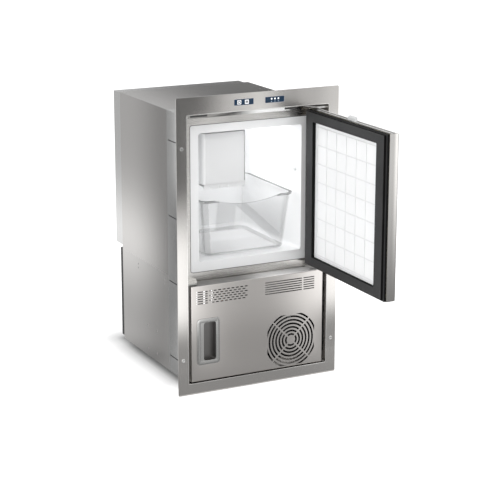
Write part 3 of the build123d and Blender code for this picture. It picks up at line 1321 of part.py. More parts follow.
# Service panel: folded steel front with louvres, fan grille, finger pull and hinge bushes
panel_pull_x = -panel_half + PULL_FROM_EDGE
louvre_top = panel_top - LOUVRE_BELOW_TOP
louvre_left = -panel_half + LOUVRE_END_INSET
louvre_right = panel_half - LOUVRE_END_INSET - LOUVRE_LONG / 2
short_step = LOUVRE_SHORT + LOUVRE_BRIDGE
grille_span = 2 * (GRILLE_DISC_RADIUS + GRILLE_RINGS * GRILLE_PITCH)
with BuildPart() as service_panel:
    block((-panel_half, panel_half), (PANEL_FRONT, panel_rear), (panel_bottom, panel_top))
    fillet(service_panel.faces().sort_by(Axis.Y)[0].edges(), PANEL_EDGE)
    block(
        (-panel_half + SHEET, panel_half - SHEET),
        (PANEL_FRONT + SHEET, panel_rear),
        (panel_bottom + SHEET, panel_top - SHEET),
        Mode.SUBTRACT,
    )
    block(
        (-panel_half, panel_half),
        (PANEL_FRONT + PANEL_SIDE_DEPTH, panel_rear),
        (panel_bottom, panel_top - SHEET),
        Mode.SUBTRACT,
    )
    with BuildSketch(upright(PANEL_FRONT)):
        for row in range(LOUVRE_ROWS):
            z = louvre_top - row * LOUVRE_PITCH
            with Locations((louvre_left + LOUVRE_LONG / 2, z)):
                Rectangle(LOUVRE_LONG, LOUVRE_HEIGHT)
            first = louvre_left + LOUVRE_LONG + LOUVRE_BRIDGE + (row % 2) * short_step / 2
            count = int((-LOUVRE_CLEAR_MIDDLE - first) // short_step)
            with Locations(*[(first + short_step * i + LOUVRE_SHORT / 2, z) for i in range(count)]):
                Rectangle(LOUVRE_SHORT, LOUVRE_HEIGHT)
            with Locations(((LOUVRE_CLEAR_MIDDLE + louvre_right - LOUVRE_LONG) / 2, z)):
                Rectangle(louvre_right - LOUVRE_LONG - LOUVRE_CLEAR_MIDDLE, LOUVRE_HEIGHT)
            with Locations((louvre_right - LOUVRE_LONG / 2 + LOUVRE_BRIDGE, z)):
                Rectangle(LOUVRE_LONG, LOUVRE_HEIGHT)
    extrude(amount=-SHEET, mode=Mode.SUBTRACT)
    with BuildSketch(upright(PANEL_FRONT)):
        with Locations((GRILLE_X, GRILLE_Z)):
            for ring in reversed(range(GRILLE_RINGS)):
                inner = GRILLE_DISC_RADIUS + ring * GRILLE_PITCH
                Circle(inner + GRILLE_SLOT)
                Circle(inner, mode=Mode.SUBTRACT)
            for turn in (45, 135):
                Rectangle(grille_span, GRILLE_SPOKE, rotation=turn, mode=Mode.SUBTRACT)
            Rectangle(GRILLE_SQUARE, GRILLE_SQUARE, mode=Mode.INTERSECT)
    extrude(amount=-SHEET, mode=Mode.SUBTRACT)
    with BuildSketch(upright(PANEL_FRONT)):
        with Locations((sum(cup_span(panel_pull_x)) / 2, PULL_PANEL_Z)):
            RectangleRounded(
                cup_span(panel_pull_x)[1] - cup_span(panel_pull_x)[0], 2 * cup_half_height, PULL_MOUTH_CORNER
            )
    extrude(amount=-SHEET, mode=Mode.SUBTRACT)
    for z in (panel_bottom, panel_top - SHEET):
        rod((hinge_x, hinge_y, z), (0, 0, 1), bush_radius, SHEET, Mode.SUBTRACT)
panel_pull = finger_pull(panel_pull_x, PULL_PANEL_Z, PANEL_FRONT)
with BuildPart() as panel_bushes:
    for z in (panel_bottom, panel_top - BUSH_LENGTH):
        rod((hinge_x, hinge_y, z), (0, 0, 1), bush_radius, BUSH_LENGTH)
        rod((hinge_x, hinge_y, z), (0, 0, 1), PIN_RADIUS + PIN_FIT, BUSH_LENGTH, Mode.SUBTRACT)

# Every piece under its own name, the door's pieces turned open about the hinge pins
cabinet_pieces = {
    "front_frame": front_frame,
    "face_frame": face_frame,
    "front_collar": front_collar,
    "upper_casing": upper_casing,
    "left_side_panel": side_panels["left"],
    "right_side_panel": side_panels["right"],
    "base_pan": base_pan,
    "compartment_floor": compartment_floor,
    "rear_panel": rear_panel,
    "rear_cover": rear_cover,
    "rear_grille": rear_grille,
    "cable_gland": cable_gland,
    "insulation": insulation,
    "inner_liner": inner_liner,
    "upper_hinge_bracket": upper_hinge_bracket,
    "lower_hinge_bracket": lower_hinge_bracket,
    "spare_hinge_bracket": spare_hinge_bracket,
    "hinge_pins": hinge_pins,
    "button_window": button_window,
    "indicator_window": indicator_window,
    "indicator_lenses": indicator_lenses,
    "power_button": buttons["power_button"],
    "ice_button": buttons["ice_button"],
    "control_box": control_box,
    "control_board": control_board,
    "unit_cover": unit_cover,
    "drive_housing": drive_housing,
    "ice_mould": ice_mould,
    "ejector": ejector,
    "stripper": stripper,
    "drip_guard": drip_guard,
    "shutoff_arm": shutoff_arm,
    "fill_cup": fill_cup,
    "unit_hanger": unit_hanger,
    "temperature_sensor": temperature_sensor,
    "ice_bin": ice_bin,
    "condenser": condenser,
    "fan_shroud": fan_shroud,
    "fan_motor": fan_motor,
    "fan_rotor": fan_rotor,
    "compressor": compressor,
    "compressor_mounts": compressor_mounts,
    "copper_lines": copper_lines,
    "filter_drier": filter_drier,
    "evaporator": evaporator,
    "power_module": power_module,
    "water_valve": water_valve,
    "fill_tube": fill_tube,
    "service_panel": service_panel,
    "panel_pull": panel_pull,
    "panel_bushes": panel_bushes,
}
door_pieces = {
    "door_skin": door_skin,
    "door_foam": door_foam,
    "door_inner_panel": door_inner_panel,
    "door_seal": door_seal,
    "door_bushes": door_bushes,
    "door_pull": door_pull,
    "catch_socket": catch_socket,
    "travel_catch": travel_catch,
}
finished = {name: piece.part for name, piece in cabinet_pieces.items()}
for name, piece in door_pieces.items():
    finished[name] = piece.part.rotate(hinge_axis, DOOR_REST_ANGLE)
for name, part in finished.items():
    part.label = name
    export_step(part, f"parts/{name}.step")
print(len(finished), "pieces, hinge axis", round(hinge_x, 2), round(hinge_y, 2))
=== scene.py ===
"""Built-in ice maker with its door open: looks, small fasteners and studio around the solid model."""

import bpy
import numpy as np
from mathutils import Matrix, Vector


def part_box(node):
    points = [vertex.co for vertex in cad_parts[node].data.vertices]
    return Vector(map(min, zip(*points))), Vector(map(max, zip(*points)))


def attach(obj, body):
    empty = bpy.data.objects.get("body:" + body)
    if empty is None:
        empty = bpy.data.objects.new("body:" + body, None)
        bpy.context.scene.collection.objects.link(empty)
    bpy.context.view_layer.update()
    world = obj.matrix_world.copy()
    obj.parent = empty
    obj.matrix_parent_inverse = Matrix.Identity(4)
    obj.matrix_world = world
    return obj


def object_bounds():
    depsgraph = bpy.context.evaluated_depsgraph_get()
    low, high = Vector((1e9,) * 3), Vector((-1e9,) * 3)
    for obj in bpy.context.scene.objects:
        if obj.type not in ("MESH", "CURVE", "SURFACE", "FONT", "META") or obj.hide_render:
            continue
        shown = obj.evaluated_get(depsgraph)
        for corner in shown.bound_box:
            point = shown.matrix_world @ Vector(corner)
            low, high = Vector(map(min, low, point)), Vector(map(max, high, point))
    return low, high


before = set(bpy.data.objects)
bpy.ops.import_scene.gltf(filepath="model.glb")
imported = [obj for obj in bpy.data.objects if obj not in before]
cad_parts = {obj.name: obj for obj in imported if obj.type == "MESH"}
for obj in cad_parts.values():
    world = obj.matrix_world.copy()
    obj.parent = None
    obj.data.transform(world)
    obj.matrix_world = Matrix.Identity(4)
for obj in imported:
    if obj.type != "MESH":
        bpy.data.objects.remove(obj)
solid_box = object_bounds()
bpy.context.scene.view_settings.view_transform = "Standard"


# Camera
# A long lens, a little above the appliance and to its left, as a catalogue picture is taken.
# Its turn, pitch, place and lens were fitted to the edges of the appliance in the photograph.
camera_data = bpy.data.cameras.new("camera")
camera_data.lens = 119.65
camera_data.sensor_width = 36
camera_data.sensor_fit = "HORIZONTAL"
camera = bpy.data.objects.new("camera", camera_data)
bpy.context.scene.collection.objects.link(camera)
turn, pitch = np.radians(-26.57), np.radians(14.61)
eye = (-1.7933, -3.4806, 1.3810)
back = np.array([np.sin(turn) * np.cos(pitch), -np.cos(turn) * np.cos(pitch), np.sin(pitch)])
across = np.array([np.cos(turn), np.sin(turn), 0])
above = np.cross(back, across)
pose = np.eye(4)
pose[:3, 0], pose[:3, 1], pose[:3, 2], pose[:3, 3] = across, above, back, eye
camera.matrix_world = Matrix(pose.tolist())
bpy.context.scene.camera = camera


# Studio
# White dome, a wide soft lamp high on the right, small lamps for compartment, bin and door, and a pale floor.
# The reflector cards give the steel something to mirror, as cards round a table do, and only gloss sees them.
def sheet_mesh(name, points, keep=None):
    """Mesh of a grid of points: each cell of the (rows, columns, 3) array is one four-sided face.

    Where keep is given, only the cells whose first corner it marks get a face.
    """
    rows, columns = points.shape[:2]
    index = np.arange(rows * columns).reshape(rows, columns)
    faces = np.stack([index[:-1, :-1], index[:-1, 1:], index[1:, 1:], index[1:, :-1]], axis=-1)
    faces = faces.reshape(-1, 4) if keep is None else faces[keep[:-1, :-1]]
    mesh = bpy.data.meshes.new(name)
    mesh.from_pydata(points.reshape(-1, 3).tolist(), [], faces.tolist())
    mesh.update()
    return mesh


def put(name, mesh):
    """Object at the origin with its place in its mesh."""
    thing = bpy.data.objects.new(name, mesh)
    bpy.context.scene.collection.objects.link(thing)
    return thing


def added(tree, kind, operation=None, numbers=None):
    """New node of that kind in the tree, with its operation and the numbers on its sockets set."""
    node = tree.nodes.new("ShaderNode" + kind)
    if operation:
        node.operation = operation
    for socket, number in (numbers or {}).items():
        node.inputs[socket].default_value = number
    return node


world = bpy.data.worlds.new("dome")
world.use_nodes = True
bpy.context.scene.world = world
tree = world.node_tree
dome = tree.nodes["Background"]
dome.inputs["Color"].default_value = (1, 1, 1, 1)
seen = added(tree, "LightPath")
seen_or_mirrored = added(tree, "Math", "MAXIMUM")
or_through = added(tree, "Math", "MAXIMUM")
power = added(tree, "MapRange", numbers={"To Min": 0.85, "To Max": 1.0})
tree.links.new(seen.outputs["Is Camera Ray"], seen_or_mirrored.inputs[0])
tree.links.new(seen.outputs["Is Glossy Ray"], seen_or_mirrored.inputs[1])
tree.links.new(seen_or_mirrored.outputs[0], or_through.inputs[0])
tree.links.new(seen.outputs["Is Transmission Ray"], or_through.inputs[1])
tree.links.new(or_through.outputs[0], power.inputs["Value"])
tree.links.new(power.outputs[0], dome.inputs["Strength"])
world.cycles.sampling_method = "NONE"

# The floor's colour is darkened beneath the cabinet as a painted shadow, and the floor glows to white away
# from it.
floor_level = solid_box[0][2] - 0.0005
shadow_middle, shadow_half = (0, 0.31, floor_level), (0.150, 0.190, 0)
u, v = np.meshgrid(np.linspace(-40, 40, 9), np.linspace(-40, 40, 9))
floor = put("floor", sheet_mesh("floor", np.stack([u, v, np.full_like(u, floor_level)], axis=-1)))
floor_finish = bpy.data.materials.new("pale_floor")
floor_finish.use_nodes = True
tree = floor_finish.node_tree
tree.nodes.remove(tree.nodes["Principled BSDF"])
matt = added(tree, "BsdfDiffuse")
lift = added(tree, "Emission", numbers={"Color": (1, 1, 1, 1)})
path = added(tree, "LightPath")
place = added(tree, "TexCoord")
centred = added(tree, "VectorMath", "SUBTRACT", {1: shadow_middle})
mirrored = added(tree, "VectorMath", "ABSOLUTE")
beyond = added(tree, "VectorMath", "SUBTRACT", {1: shadow_half})
outside = added(tree, "VectorMath", "MAXIMUM")
distance = added(tree, "VectorMath", "LENGTH")
away = added(tree, "MapRange", numbers={"From Min": 0.012, "From Max": 0.100, "To Max": 0.50})
painted_floor_shadow = added(tree, "MapRange", numbers={"From Max": 0.040, "To Min": 0.30, "To Max": 0.87})
away.interpolation_type = painted_floor_shadow.interpolation_type = "SMOOTHSTEP"
lift_power = added(tree, "Math", "MULTIPLY")
both = added(tree, "AddShader")
tree.links.new(place.outputs["Object"], centred.inputs[0])
tree.links.new(centred.outputs[0], mirrored.inputs[0])
tree.links.new(mirrored.outputs[0], beyond.inputs[0])
tree.links.new(beyond.outputs[0], outside.inputs[0])
tree.links.new(outside.outputs[0], distance.inputs[0])
tree.links.new(distance.outputs["Value"], away.inputs["Value"])
tree.links.new(distance.outputs["Value"], painted_floor_shadow.inputs["Value"])
tree.links.new(painted_floor_shadow.outputs[0], matt.inputs["Color"])
tree.links.new(path.outputs["Is Camera Ray"], lift_power.inputs[0])
tree.links.new(away.outputs[0], lift_power.inputs[1])
tree.links.new(lift_power.outputs[0], lift.inputs["Strength"])
tree.links.new(matt.outputs[0], both.inputs[0])
tree.links.new(lift.outputs[0], both.inputs[1])
tree.links.new(both.outputs[0], tree.nodes["Material Output"].inputs["Surface"])
floor.data.materials.append(floor_finish)


def soft_step(x, low, high):
    """0 below low, 1 above high and a smooth rise between."""
    t = np.clip((x - low) / (high - low), 0, 1)
    return t * t * (3 - 2 * t)


def card(name, points, glow, keep=None):
    """Reflector sheet that gloss alone sees, with its brightness at each grid point in the array glow."""
    sheet = put(name, sheet_mesh(name, points, keep))
    layer = sheet.data.attributes.new("glow", "FLOAT_COLOR", "POINT")
    shade = np.stack([glow, glow, glow, np.ones_like(glow)], axis=-1)
    layer.data.foreach_set("color", shade.astype(np.float32).ravel())
    paper = bpy.data.materials.new(name)
    paper.use_nodes = True
    nodes = paper.node_tree.nodes
    nodes.remove(nodes["Principled BSDF"])
    light = nodes.new("ShaderNodeEmission")
    source = nodes.new("ShaderNodeAttribute")
    source.attribute_name = "glow"
    paper.node_tree.links.new(source.outputs["Color"], light.inputs["Color"])
    paper.node_tree.links.new(light.outputs[0], nodes["Material Output"].inputs["Surface"])
    sheet.data.materials.append(paper)
    sheet.visible_camera = sheet.visible_diffuse = sheet.visible_transmission = sheet.visible_shadow = False
    sheet.visible_volume_scatter = False
    return sheet


# Before the flange: dark above on the left, white lower down, with a window for the compartment and the door.
front_card_y, side_card_x, top_card_z, card_lift = -0.16, 0.30, 0.76, 0.003
u, v = np.meshgrid(np.linspace(-0.45, 0.80, 126), np.linspace(-0.02, 0.90, 93))
rise = soft_step(v, 0.05, 0.15)
left = 0.6 * (1 - soft_step(u, -0.15, -0.06)) + 0.4 * (1 - soft_step(u, -0.15, 0.03))
right = soft_step(u, 0.10, 0.32)
low_glow = 0.40 + rise * (0.14 + 1.12 * left + 1.12 * right)
low_glow += (1 - rise) * 0.26 * soft_step(u, -0.105, -0.085) * (1 - soft_step(u, -0.085, 0.01))
low_glow += (1 - rise) * 0.50 * soft_step(u, 0.19, 0.23) * (1 - soft_step(u, 0.25, 0.27))
high_glow = 0.20 + 0.64 * soft_step(u, -0.10, 0.02) - 0.36 * soft_step(u, 0.12, 0.32)
high_glow += 0.45 * soft_step(u, 0.23, 0.31)
high_glow += np.exp(-((u - 0.08) / 0.03) ** 2) * (0.20 + 0.40 * (1 - soft_step(v, 0.655, 0.68)))
fade = soft_step(v, 0.28 + 0.27 * right, 0.50 + 0.17 * right)
keep = (v < 0.225) | (u < -0.105) | (u > 0.195) | ((v > 0.645) & (u < 0.13))
front_glow = (1 - fade) * low_glow + fade * high_glow
card("front_card", np.stack([u, np.full_like(u, front_card_y), v], axis=-1), front_glow, keep)

u, v = np.meshgrid(np.linspace(-0.45, 0.80, 61), np.linspace(-0.159, -0.003, 31))
near_glow = 0.38 + 0.12 * soft_step(u, 0.1, 0.4)
card("near_floor_card", np.stack([u, v, np.full_like(u, floor_level + card_lift)], axis=-1), near_glow)

# Close round the open door: its free edge gets a bright stripe that fades downwards.
edge_card_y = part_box("door_skin")[0][1] - 0.011
u, v = np.meshgrid(np.linspace(0.14, 0.20, 61), np.linspace(0.15, 0.75, 61))
edge_glow = 0.26 + 0.57 * soft_step(v, 0.18, 0.66)
edge_glow += 0.75 * soft_step(v, 0.27, 0.66) * soft_step(u, 0.176, 0.183)
card("door_edge_card", np.stack([u, np.full_like(u, edge_card_y), v], axis=-1), edge_glow)
u, v = np.meshgrid(np.linspace(-0.459, -0.28, 19), np.linspace(0.15, 0.75, 61))
corner_glow = 0.15 + 0.35 * soft_step(v, 0.25, 0.66)
card("right_card", np.stack([np.full_like(u, side_card_x), u, v], axis=-1), corner_glow)

# Beside the cabinet: brighter to the rear, most of all at the height of its waist, and banded for the collar.
u, v = np.meshgrid(np.linspace(0.15, 1.3, 116), np.linspace(-0.02, 0.9, 93))
waist = 0.36 + 0.54 * np.exp(-((v - 0.23) / 0.13) ** 2)
side_glow = 0.17 + waist * soft_step(u, 0.30, 0.62)
collar_glow = 0.40 - 0.40 * np.exp(-((v - 0.31) / 0.08) ** 2) + 0.45 * (1 - soft_step(v, 0.10, 0.14))
side_glow += collar_glow * (1 - soft_step(u, 0.24, 0.30))
side_glow += 0.70 * soft_step(v, 0.38, 0.52) * (1 - soft_step(u, 0.28, 0.315))
card("left_card", np.stack([np.full_like(u, -side_card_x), u, v], axis=-1), side_glow)

u, v = np.meshgrid(np.linspace(-0.299, -0.2, 31), np.linspace(0.05, 1.3, 61))
side_floor_glow = 0.23 + 0.36 * soft_step(v, 0.26, 0.58) + 0.08 * (1 - soft_step(v, 0.25, 0.30))
card("side_floor_card", np.stack([u, v, np.full_like(u, floor_level + card_lift)], axis=-1), side_floor_glow)

# Over the cabinet: pale on the left, dark on the right.
u, v = np.meshgrid(np.linspace(-0.4, 0.8, 61), np.linspace(0.1, 1.2, 61))
top_glow = 0.17 + 0.47 * (1 - soft_step(u, -0.14, 0.20))
card("top_card", np.stack([u, v, np.full_like(u, top_card_z)], axis=-1), top_glow)


def lamp(name, spot, target, size, watts):
    """Square soft lamp at spot that shines towards target."""
    light = bpy.data.lights.new(name, "AREA")
    light.size = size
    light.energy = watts
    thing = bpy.data.objects.new(name, light)
    bpy.context.scene.collection.objects.link(thing)
    thing.location = spot
    thing.rotation_euler = (Vector(target) - Vector(spot)).to_track_quat("-Z", "Y").to_euler()
    thing.visible_camera = False
    thing.visible_glossy = False


lamp("key_lamp", (1.6, -1.8, 2.4), (0, 0.2, 0.3), 1.6, 38)
lamp("compartment_lamp", (0.045, 0.215, 0.634), (0.045, 0.215, 0.3), 0.19, 0.48)
lamp("bin_lamp", (-0.01, 0.20, 0.52), (-0.01, 0.20, 0.3), 0.20, 0.40)
lamp("door_lamp", (-1.20, -0.40, 0.60), (0.15, -0.17, 0.48), 0.4, 5.2)


# Front frame
# A flange of brushed stainless plate with a welded return behind its opening, screwed to the furniture.
# The plate is ground with long horizontal strokes, so its gloss is streaked along the width.
def finish(name, colour, metallic, roughness):
    """Principled material whose plain numbers sit on the shader's own sockets."""
    material = bpy.data.materials.new(name)
    material.use_nodes = True
    shader = material.node_tree.nodes["Principled BSDF"]
    shader.inputs["Base Color"].default_value = (*colour, 1)
    shader.inputs["Metallic"].default_value = metallic
    shader.inputs["Roughness"].default_value = roughness
    return material


def grain(material, stretch, detail=3.0):
    """Noise on Object coordinates, as many cells to the metre along each axis as stretch says."""
    nodes, links = material.node_tree.nodes, material.node_tree.links
    place = nodes.new("ShaderNodeTexCoord")
    scale = nodes.new("ShaderNodeMapping")
    scale.inputs["Scale"].default_value = stretch
    noise = nodes.new("ShaderNodeTexNoise")
    noise.inputs["Scale"].default_value = 1
    noise.inputs["Detail"].default_value = detail
    links.new(place.outputs["Object"], scale.inputs["Vector"])
    links.new(scale.outputs["Vector"], noise.inputs["Vector"])
    return noise.outputs["Fac"]


def tint(material, fac, low, high):
    """Base colour that goes from low to high as the driving value goes from 0.3 to 0.7."""
    ramp = material.node_tree.nodes.new("ShaderNodeValToRGB")
    ramp.color_ramp.elements[0].position = 0.3
    ramp.color_ramp.elements[1].position = 0.7
    ramp.color_ramp.elements[0].color = (*low, 1)
    ramp.color_ramp.elements[1].color = (*high, 1)
    shader = material.node_tree.nodes["Principled BSDF"]
    material.node_tree.links.new(fac, ramp.inputs["Fac"])
    material.node_tree.links.new(ramp.outputs["Color"], shader.inputs["Base Color"])


def gloss(material, fac, low, high):
    """Roughness that goes from low to high as the noise goes from 0.3 to 0.7."""
    spread = material.node_tree.nodes.new("ShaderNodeMapRange")
    for socket, number in zip(("From Min", "From Max", "To Min", "To Max"), (0.3, 0.7, low, high)):
        spread.inputs[socket].default_value = number
    shader = material.node_tree.nodes["Principled BSDF"]
    material.node_tree.links.new(fac, spread.inputs["Value"])
    material.node_tree.links.new(spread.outputs[0], shader.inputs["Roughness"])


def relief(material, fac, depth):
    """Bump of that depth in metres, added to any bump already there."""
    nodes, links = material.node_tree.nodes, material.node_tree.links
    normal = nodes["Principled BSDF"].inputs["Normal"]
    bump = nodes.new("ShaderNodeBump")
    bump.inputs["Distance"].default_value = depth
    bump.inputs["Strength"].default_value = 1
    if normal.links:
        links.new(normal.links[0].from_socket, bump.inputs["Normal"])
    links.new(fac, bump.inputs["Height"])
    links.new(bump.outputs["Normal"], normal)


def ground(name, streaks, low, high, shine, depth=0.0000002):
    """Bare steel with fine strokes: colour between low and high, roughness over shine, and their relief."""
    material = finish(name, low, 1, shine[0])
    strokes = grain(material, streaks[0])
    tint(material, strokes, low, high)
    gloss(material, grain(material, streaks[1]), *shine)
    if depth:
        relief(material, strokes, depth)
    return material


def dress(material, *names):
    """Gives the finish to solids of the model."""
    for name in names:
        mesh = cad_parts[name].data
        mesh.materials.clear()
        mesh.materials.append(material)


level_strokes = ((20, 2400, 2400), (20, 1600, 1600))
ground_steel = ground(
    "ground_steel", level_strokes, (0.612, 0.595, 0.575), (0.632, 0.615, 0.595), (0.21, 0.25))
dress(ground_steel, "front_frame")


# Flange screws
# Four countersunk wood screws with a cross recess, each sunk in a cup washer pressed from stainless sheet.
# They hold the flange to the furniture that the appliance is built into.
def smoothed(mesh):
    """The mesh with its gentle bends shaded smooth and every edge of more than 35 degrees left sharp."""
    mesh.update()
    mesh.polygons.foreach_set("use_smooth", np.ones(len(mesh.polygons), bool))
    mesh.set_sharp_from_angle(angle=np.radians(35))
    return mesh


def turned(name, profile, centre, outward, slot_width=0.0, slot_reach=0.0, slot_depth=0.0):
    """Surface of revolution: each (radius, height) of the profile goes round the axis outward from centre.

    The profile starts and ends on the axis. Inside a cross of slot_width and slot_reach the height drops.
    """
    outward = np.array(outward, float)
    side = np.cross(outward, (0.0, 0.0, 1.0)) if abs(outward[2]) < 0.9 else np.array([1.0, 0.0, 0.0])
    side /= np.linalg.norm(side)
    other = np.cross(outward, side)
    angle = np.linspace(0, 2 * np.pi, 40, endpoint=False)
    profile = np.array(profile, float)
    radius, height = profile[1:-1, :1], profile[1:-1, 1:]
    x, y = radius * np.cos(angle), radius * np.sin(angle)
    in_cross = (np.minimum(np.abs(x), np.abs(y)) < slot_width / 2) & (radius < slot_reach)
    z = height - slot_depth * in_cross
    rings = x[..., None] * side + y[..., None] * other + z[..., None] * outward + np.array(centre)
    first = np.array(centre) + (profile[0, 1] - slot_depth) * outward
    last = np.array(centre) + profile[-1, 1] * outward
    points = np.vstack([first, rings.reshape(-1, 3), last])
    count = len(angle)
    step = np.arange(count)
    after = (step + 1) % count
    row = 1 + np.arange(len(profile) - 3)[:, None] * count
    quads = np.stack([row + step, row + count + step, row + count + after, row + after], axis=-1)
    end = len(points) - 1
    tail = 1 + (len(profile) - 3) * count
    caps = np.vstack([
        np.stack([np.zeros_like(step), 1 + step, 1 + after], axis=-1),
        np.stack([np.full_like(step, end), tail + after, tail + step], axis=-1),
    ])
    mesh = bpy.data.meshes.new(name)
    mesh.from_pydata(points.tolist(), [], quads.reshape(-1, 4).tolist() + caps.tolist())
    return put(name, smoothed(mesh))


def mottled(name, colour, metallic, cells, low, high, detail=3.0):
    """Finish whose roughness wanders between low and high, with that many cells of noise to the metre."""
    material = finish(name, colour, metallic, low)
    gloss(material, grain(material, cells, detail), low, high)
    return material


screw_steel = mottled("screw_steel", (0.78, 0.78, 0.77), 1, (900, 900, 900), 0.15, 0.32)
bore = np.linspace(0, 1, 9)[:, None]
washer = np.linspace(0, np.pi, 13)[:, None]
cupped_head = np.vstack([
    np.hstack([0.0020 * bore, -0.0004 - 0.0003 * bore ** 2]),
    np.hstack([0.0036 - 0.0015 * np.cos(washer), 0.0016 * np.sin(washer)]),
    [(0.0022, -0.0013), (0.0022, -0.0035), (0.0, -0.0035)],
])
flange_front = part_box("front_frame")[0][1]
forward = (0, -1, 0)
flange_recess = {"slot_width": 0.0009, "slot_reach": 0.0022, "slot_depth": 0.0009}
flange_holes = [(x, z) for x in (-0.213, 0.213) for z in (0.070, 0.614)]
for number, (x, z) in enumerate(flange_holes):
    screw = turned(f"flange_screw_{number}", cupped_head, (x, flange_front, z), forward, **flange_recess)
    screw.data.materials.append(screw_steel)
    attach(screw, "cabinet")


# Face frame
# Flat surround of thin stainless sheet behind the flange, round the mouth of the compartment.
# It is welded in, so its mirror is a little wavy.
wavy_steel = mottled("wavy_steel", (0.64, 0.625, 0.60), 1, (6, 400, 400), 0.22, 0.30)
tint(wavy_steel, grain(wavy_steel, (10, 500, 500), 4), (0.60, 0.585, 0.565), (0.67, 0.655, 0.635))
relief(wavy_steel, grain(wavy_steel, (11, 11, 22), 1), 0.0008)
dress(wavy_steel, "face_frame")


# Top rail and slot plugs
# Over the opening a folded steel rail stiffens the face frame, with a painted reflection that runs from dark
# on the left to bright on the right.
# Black plastic plugs are pushed into the hinge slots that are not in use.
def carried(name, outline, spans):
    """Mesh of prisms: the closed (y, z) outline is carried along X over each (start, end) of spans."""
    outline = np.array(outline, float)
    count = len(outline)
    step = np.arange(count)
    walls = np.stack([step, np.roll(step, -1), count + np.roll(step, -1), count + step], axis=-1)
    ends = np.repeat(np.array(spans, float).ravel(), count)
    points = np.column_stack([ends, np.tile(outline, (2 * len(spans), 1))])
    faces = []
    for number in range(len(spans)):
        first = 2 * count * number
        faces += (walls + first).tolist() + [(first + step[::-1]).tolist(), (first + count + step).tolist()]
    mesh = bpy.data.meshes.new(name)
    mesh.from_pydata(points.tolist(), [], faces)
    return put(name, smoothed(mesh))


def along_width(material, start, end):
    """0.3 to the left of start and 0.7 to the right of end, in metres along X, with a smooth rise between."""
    nodes, links = material.node_tree.nodes, material.node_tree.links
    place = nodes.new("ShaderNodeTexCoord")
    axes = nodes.new("ShaderNodeSeparateXYZ")
    spread = nodes.new("ShaderNodeMapRange")
    spread.interpolation_type = "SMOOTHSTEP"
    for socket, number in zip(("From Min", "From Max", "To Min", "To Max"), (start, end, 0.3, 0.7)):
        spread.inputs[socket].default_value = number
    links.new(place.outputs["Object"], axes.inputs["Vector"])
    links.new(axes.outputs["X"], spread.inputs["Value"])
    return spread.outputs[0]


rail_painted_reflection = finish("rail_painted_reflection", (0.60, 0.59, 0.57), 1, 0.12)
tint(rail_painted_reflection, along_width(rail_painted_reflection, -0.045, 0.030), (0.29, 0.285, 0.275), (0.96, 0.955, 0.945))
gloss(rail_painted_reflection, grain(rail_painted_reflection, (6, 400, 400)), 0.10, 0.18)
relief(rail_painted_reflection, grain(rail_painted_reflection, (14, 14, 30), 1), 0.0005)
face_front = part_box("face_frame")[0][1]
rail_bottom, rail_top, rail_reach, rail_span = 0.6775, 0.6900, 0.0007, (-0.172, 0.150)
plug_bottom, plug_top, plug_lift, plug_spans = 0.6802, 0.6880, 0.0002, [(-0.168, -0.121), (0.096, 0.133)]


def rail_outline(low, high, lift):
    """Section of a strip from height low to high, lift proud of the rail, with its lower edge rounded off."""
    front = face_front - rail_reach - lift
    return [(front, high), (front, low + 0.0006), (front + 0.0002, low + 0.0002), (front + 0.0005, low),
            (face_front, low), (face_front, high)]


top_rail = carried("top_rail", rail_outline(rail_bottom, rail_top, 0.0), [rail_span])
top_rail.data.materials.append(rail_painted_reflection)
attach(top_rail, "cabinet")
plug_grey = mottled("plug_grey", (0.09, 0.09, 0.088), 0, (700, 700, 700), 0.42, 0.58)
slot_plugs = carried("slot_plugs", rail_outline(plug_bottom, plug_top, plug_lift), plug_spans)
slot_plugs.data.materials.append(plug_grey)
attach(slot_plugs, "cabinet")


# Casing
# Stainless sheet with a fine satin skin, folded and riveted: the collar, the upper shell, the lower sides,
# the floor, the back and its pressed lid. The lid and the collar are a little brighter than the rest.
upright_strokes = ((2400, 2400, 40), (1600, 1600, 30))
satin_sheet = ground(
    "satin_sheet", upright_strokes, (0.652, 0.637, 0.622), (0.668, 0.653, 0.638), (0.21, 0.25))
dress(satin_sheet, "upper_casing")
# The lower sides, floor and back get a lighter, rougher copy of the sheet; the lighter tone is painted light
# standing for their brighter reflection.
side_sheet_painted_light = ground(
    "side_sheet_painted_light", upright_strokes, (0.682, 0.667, 0.652), (0.698, 0.683, 0.668), (0.28, 0.32), depth=0)
dress(side_sheet_painted_light, "left_side_panel", "right_side_panel", "base_pan", "compartment_floor", "rear_panel")
bright_sheet = ground(
    "bright_sheet", upright_strokes, (0.73, 0.73, 0.725), (0.75, 0.75, 0.745), (0.22, 0.26))
dress(bright_sheet, "front_collar", "rear_cover")


# Collar seam shade
# Black strips in the slots of the collar's folded joints stand for the shade in the seams: painted shade.
# They sit just below the sheet.
def bars(name, boxes):
    """Mesh of boxes, each given by its lowest and its highest corner."""
    corner = np.array([(i & 1, i >> 1 & 1, i >> 2) for i in range(8)])
    side = np.array([(0, 2, 3, 1), (4, 5, 7, 6), (0, 1, 5, 4), (2, 6, 7, 3), (0, 4, 6, 2), (1, 3, 7, 5)])
    points = np.vstack([np.array(low) + corner * (np.array(high) - np.array(low)) for low, high in boxes])
    mesh = bpy.data.meshes.new(name)
    mesh.from_pydata(points.tolist(), [], np.vstack([side + 8 * i for i in range(len(boxes))]).tolist())
    mesh.update()
    return put(name, mesh)


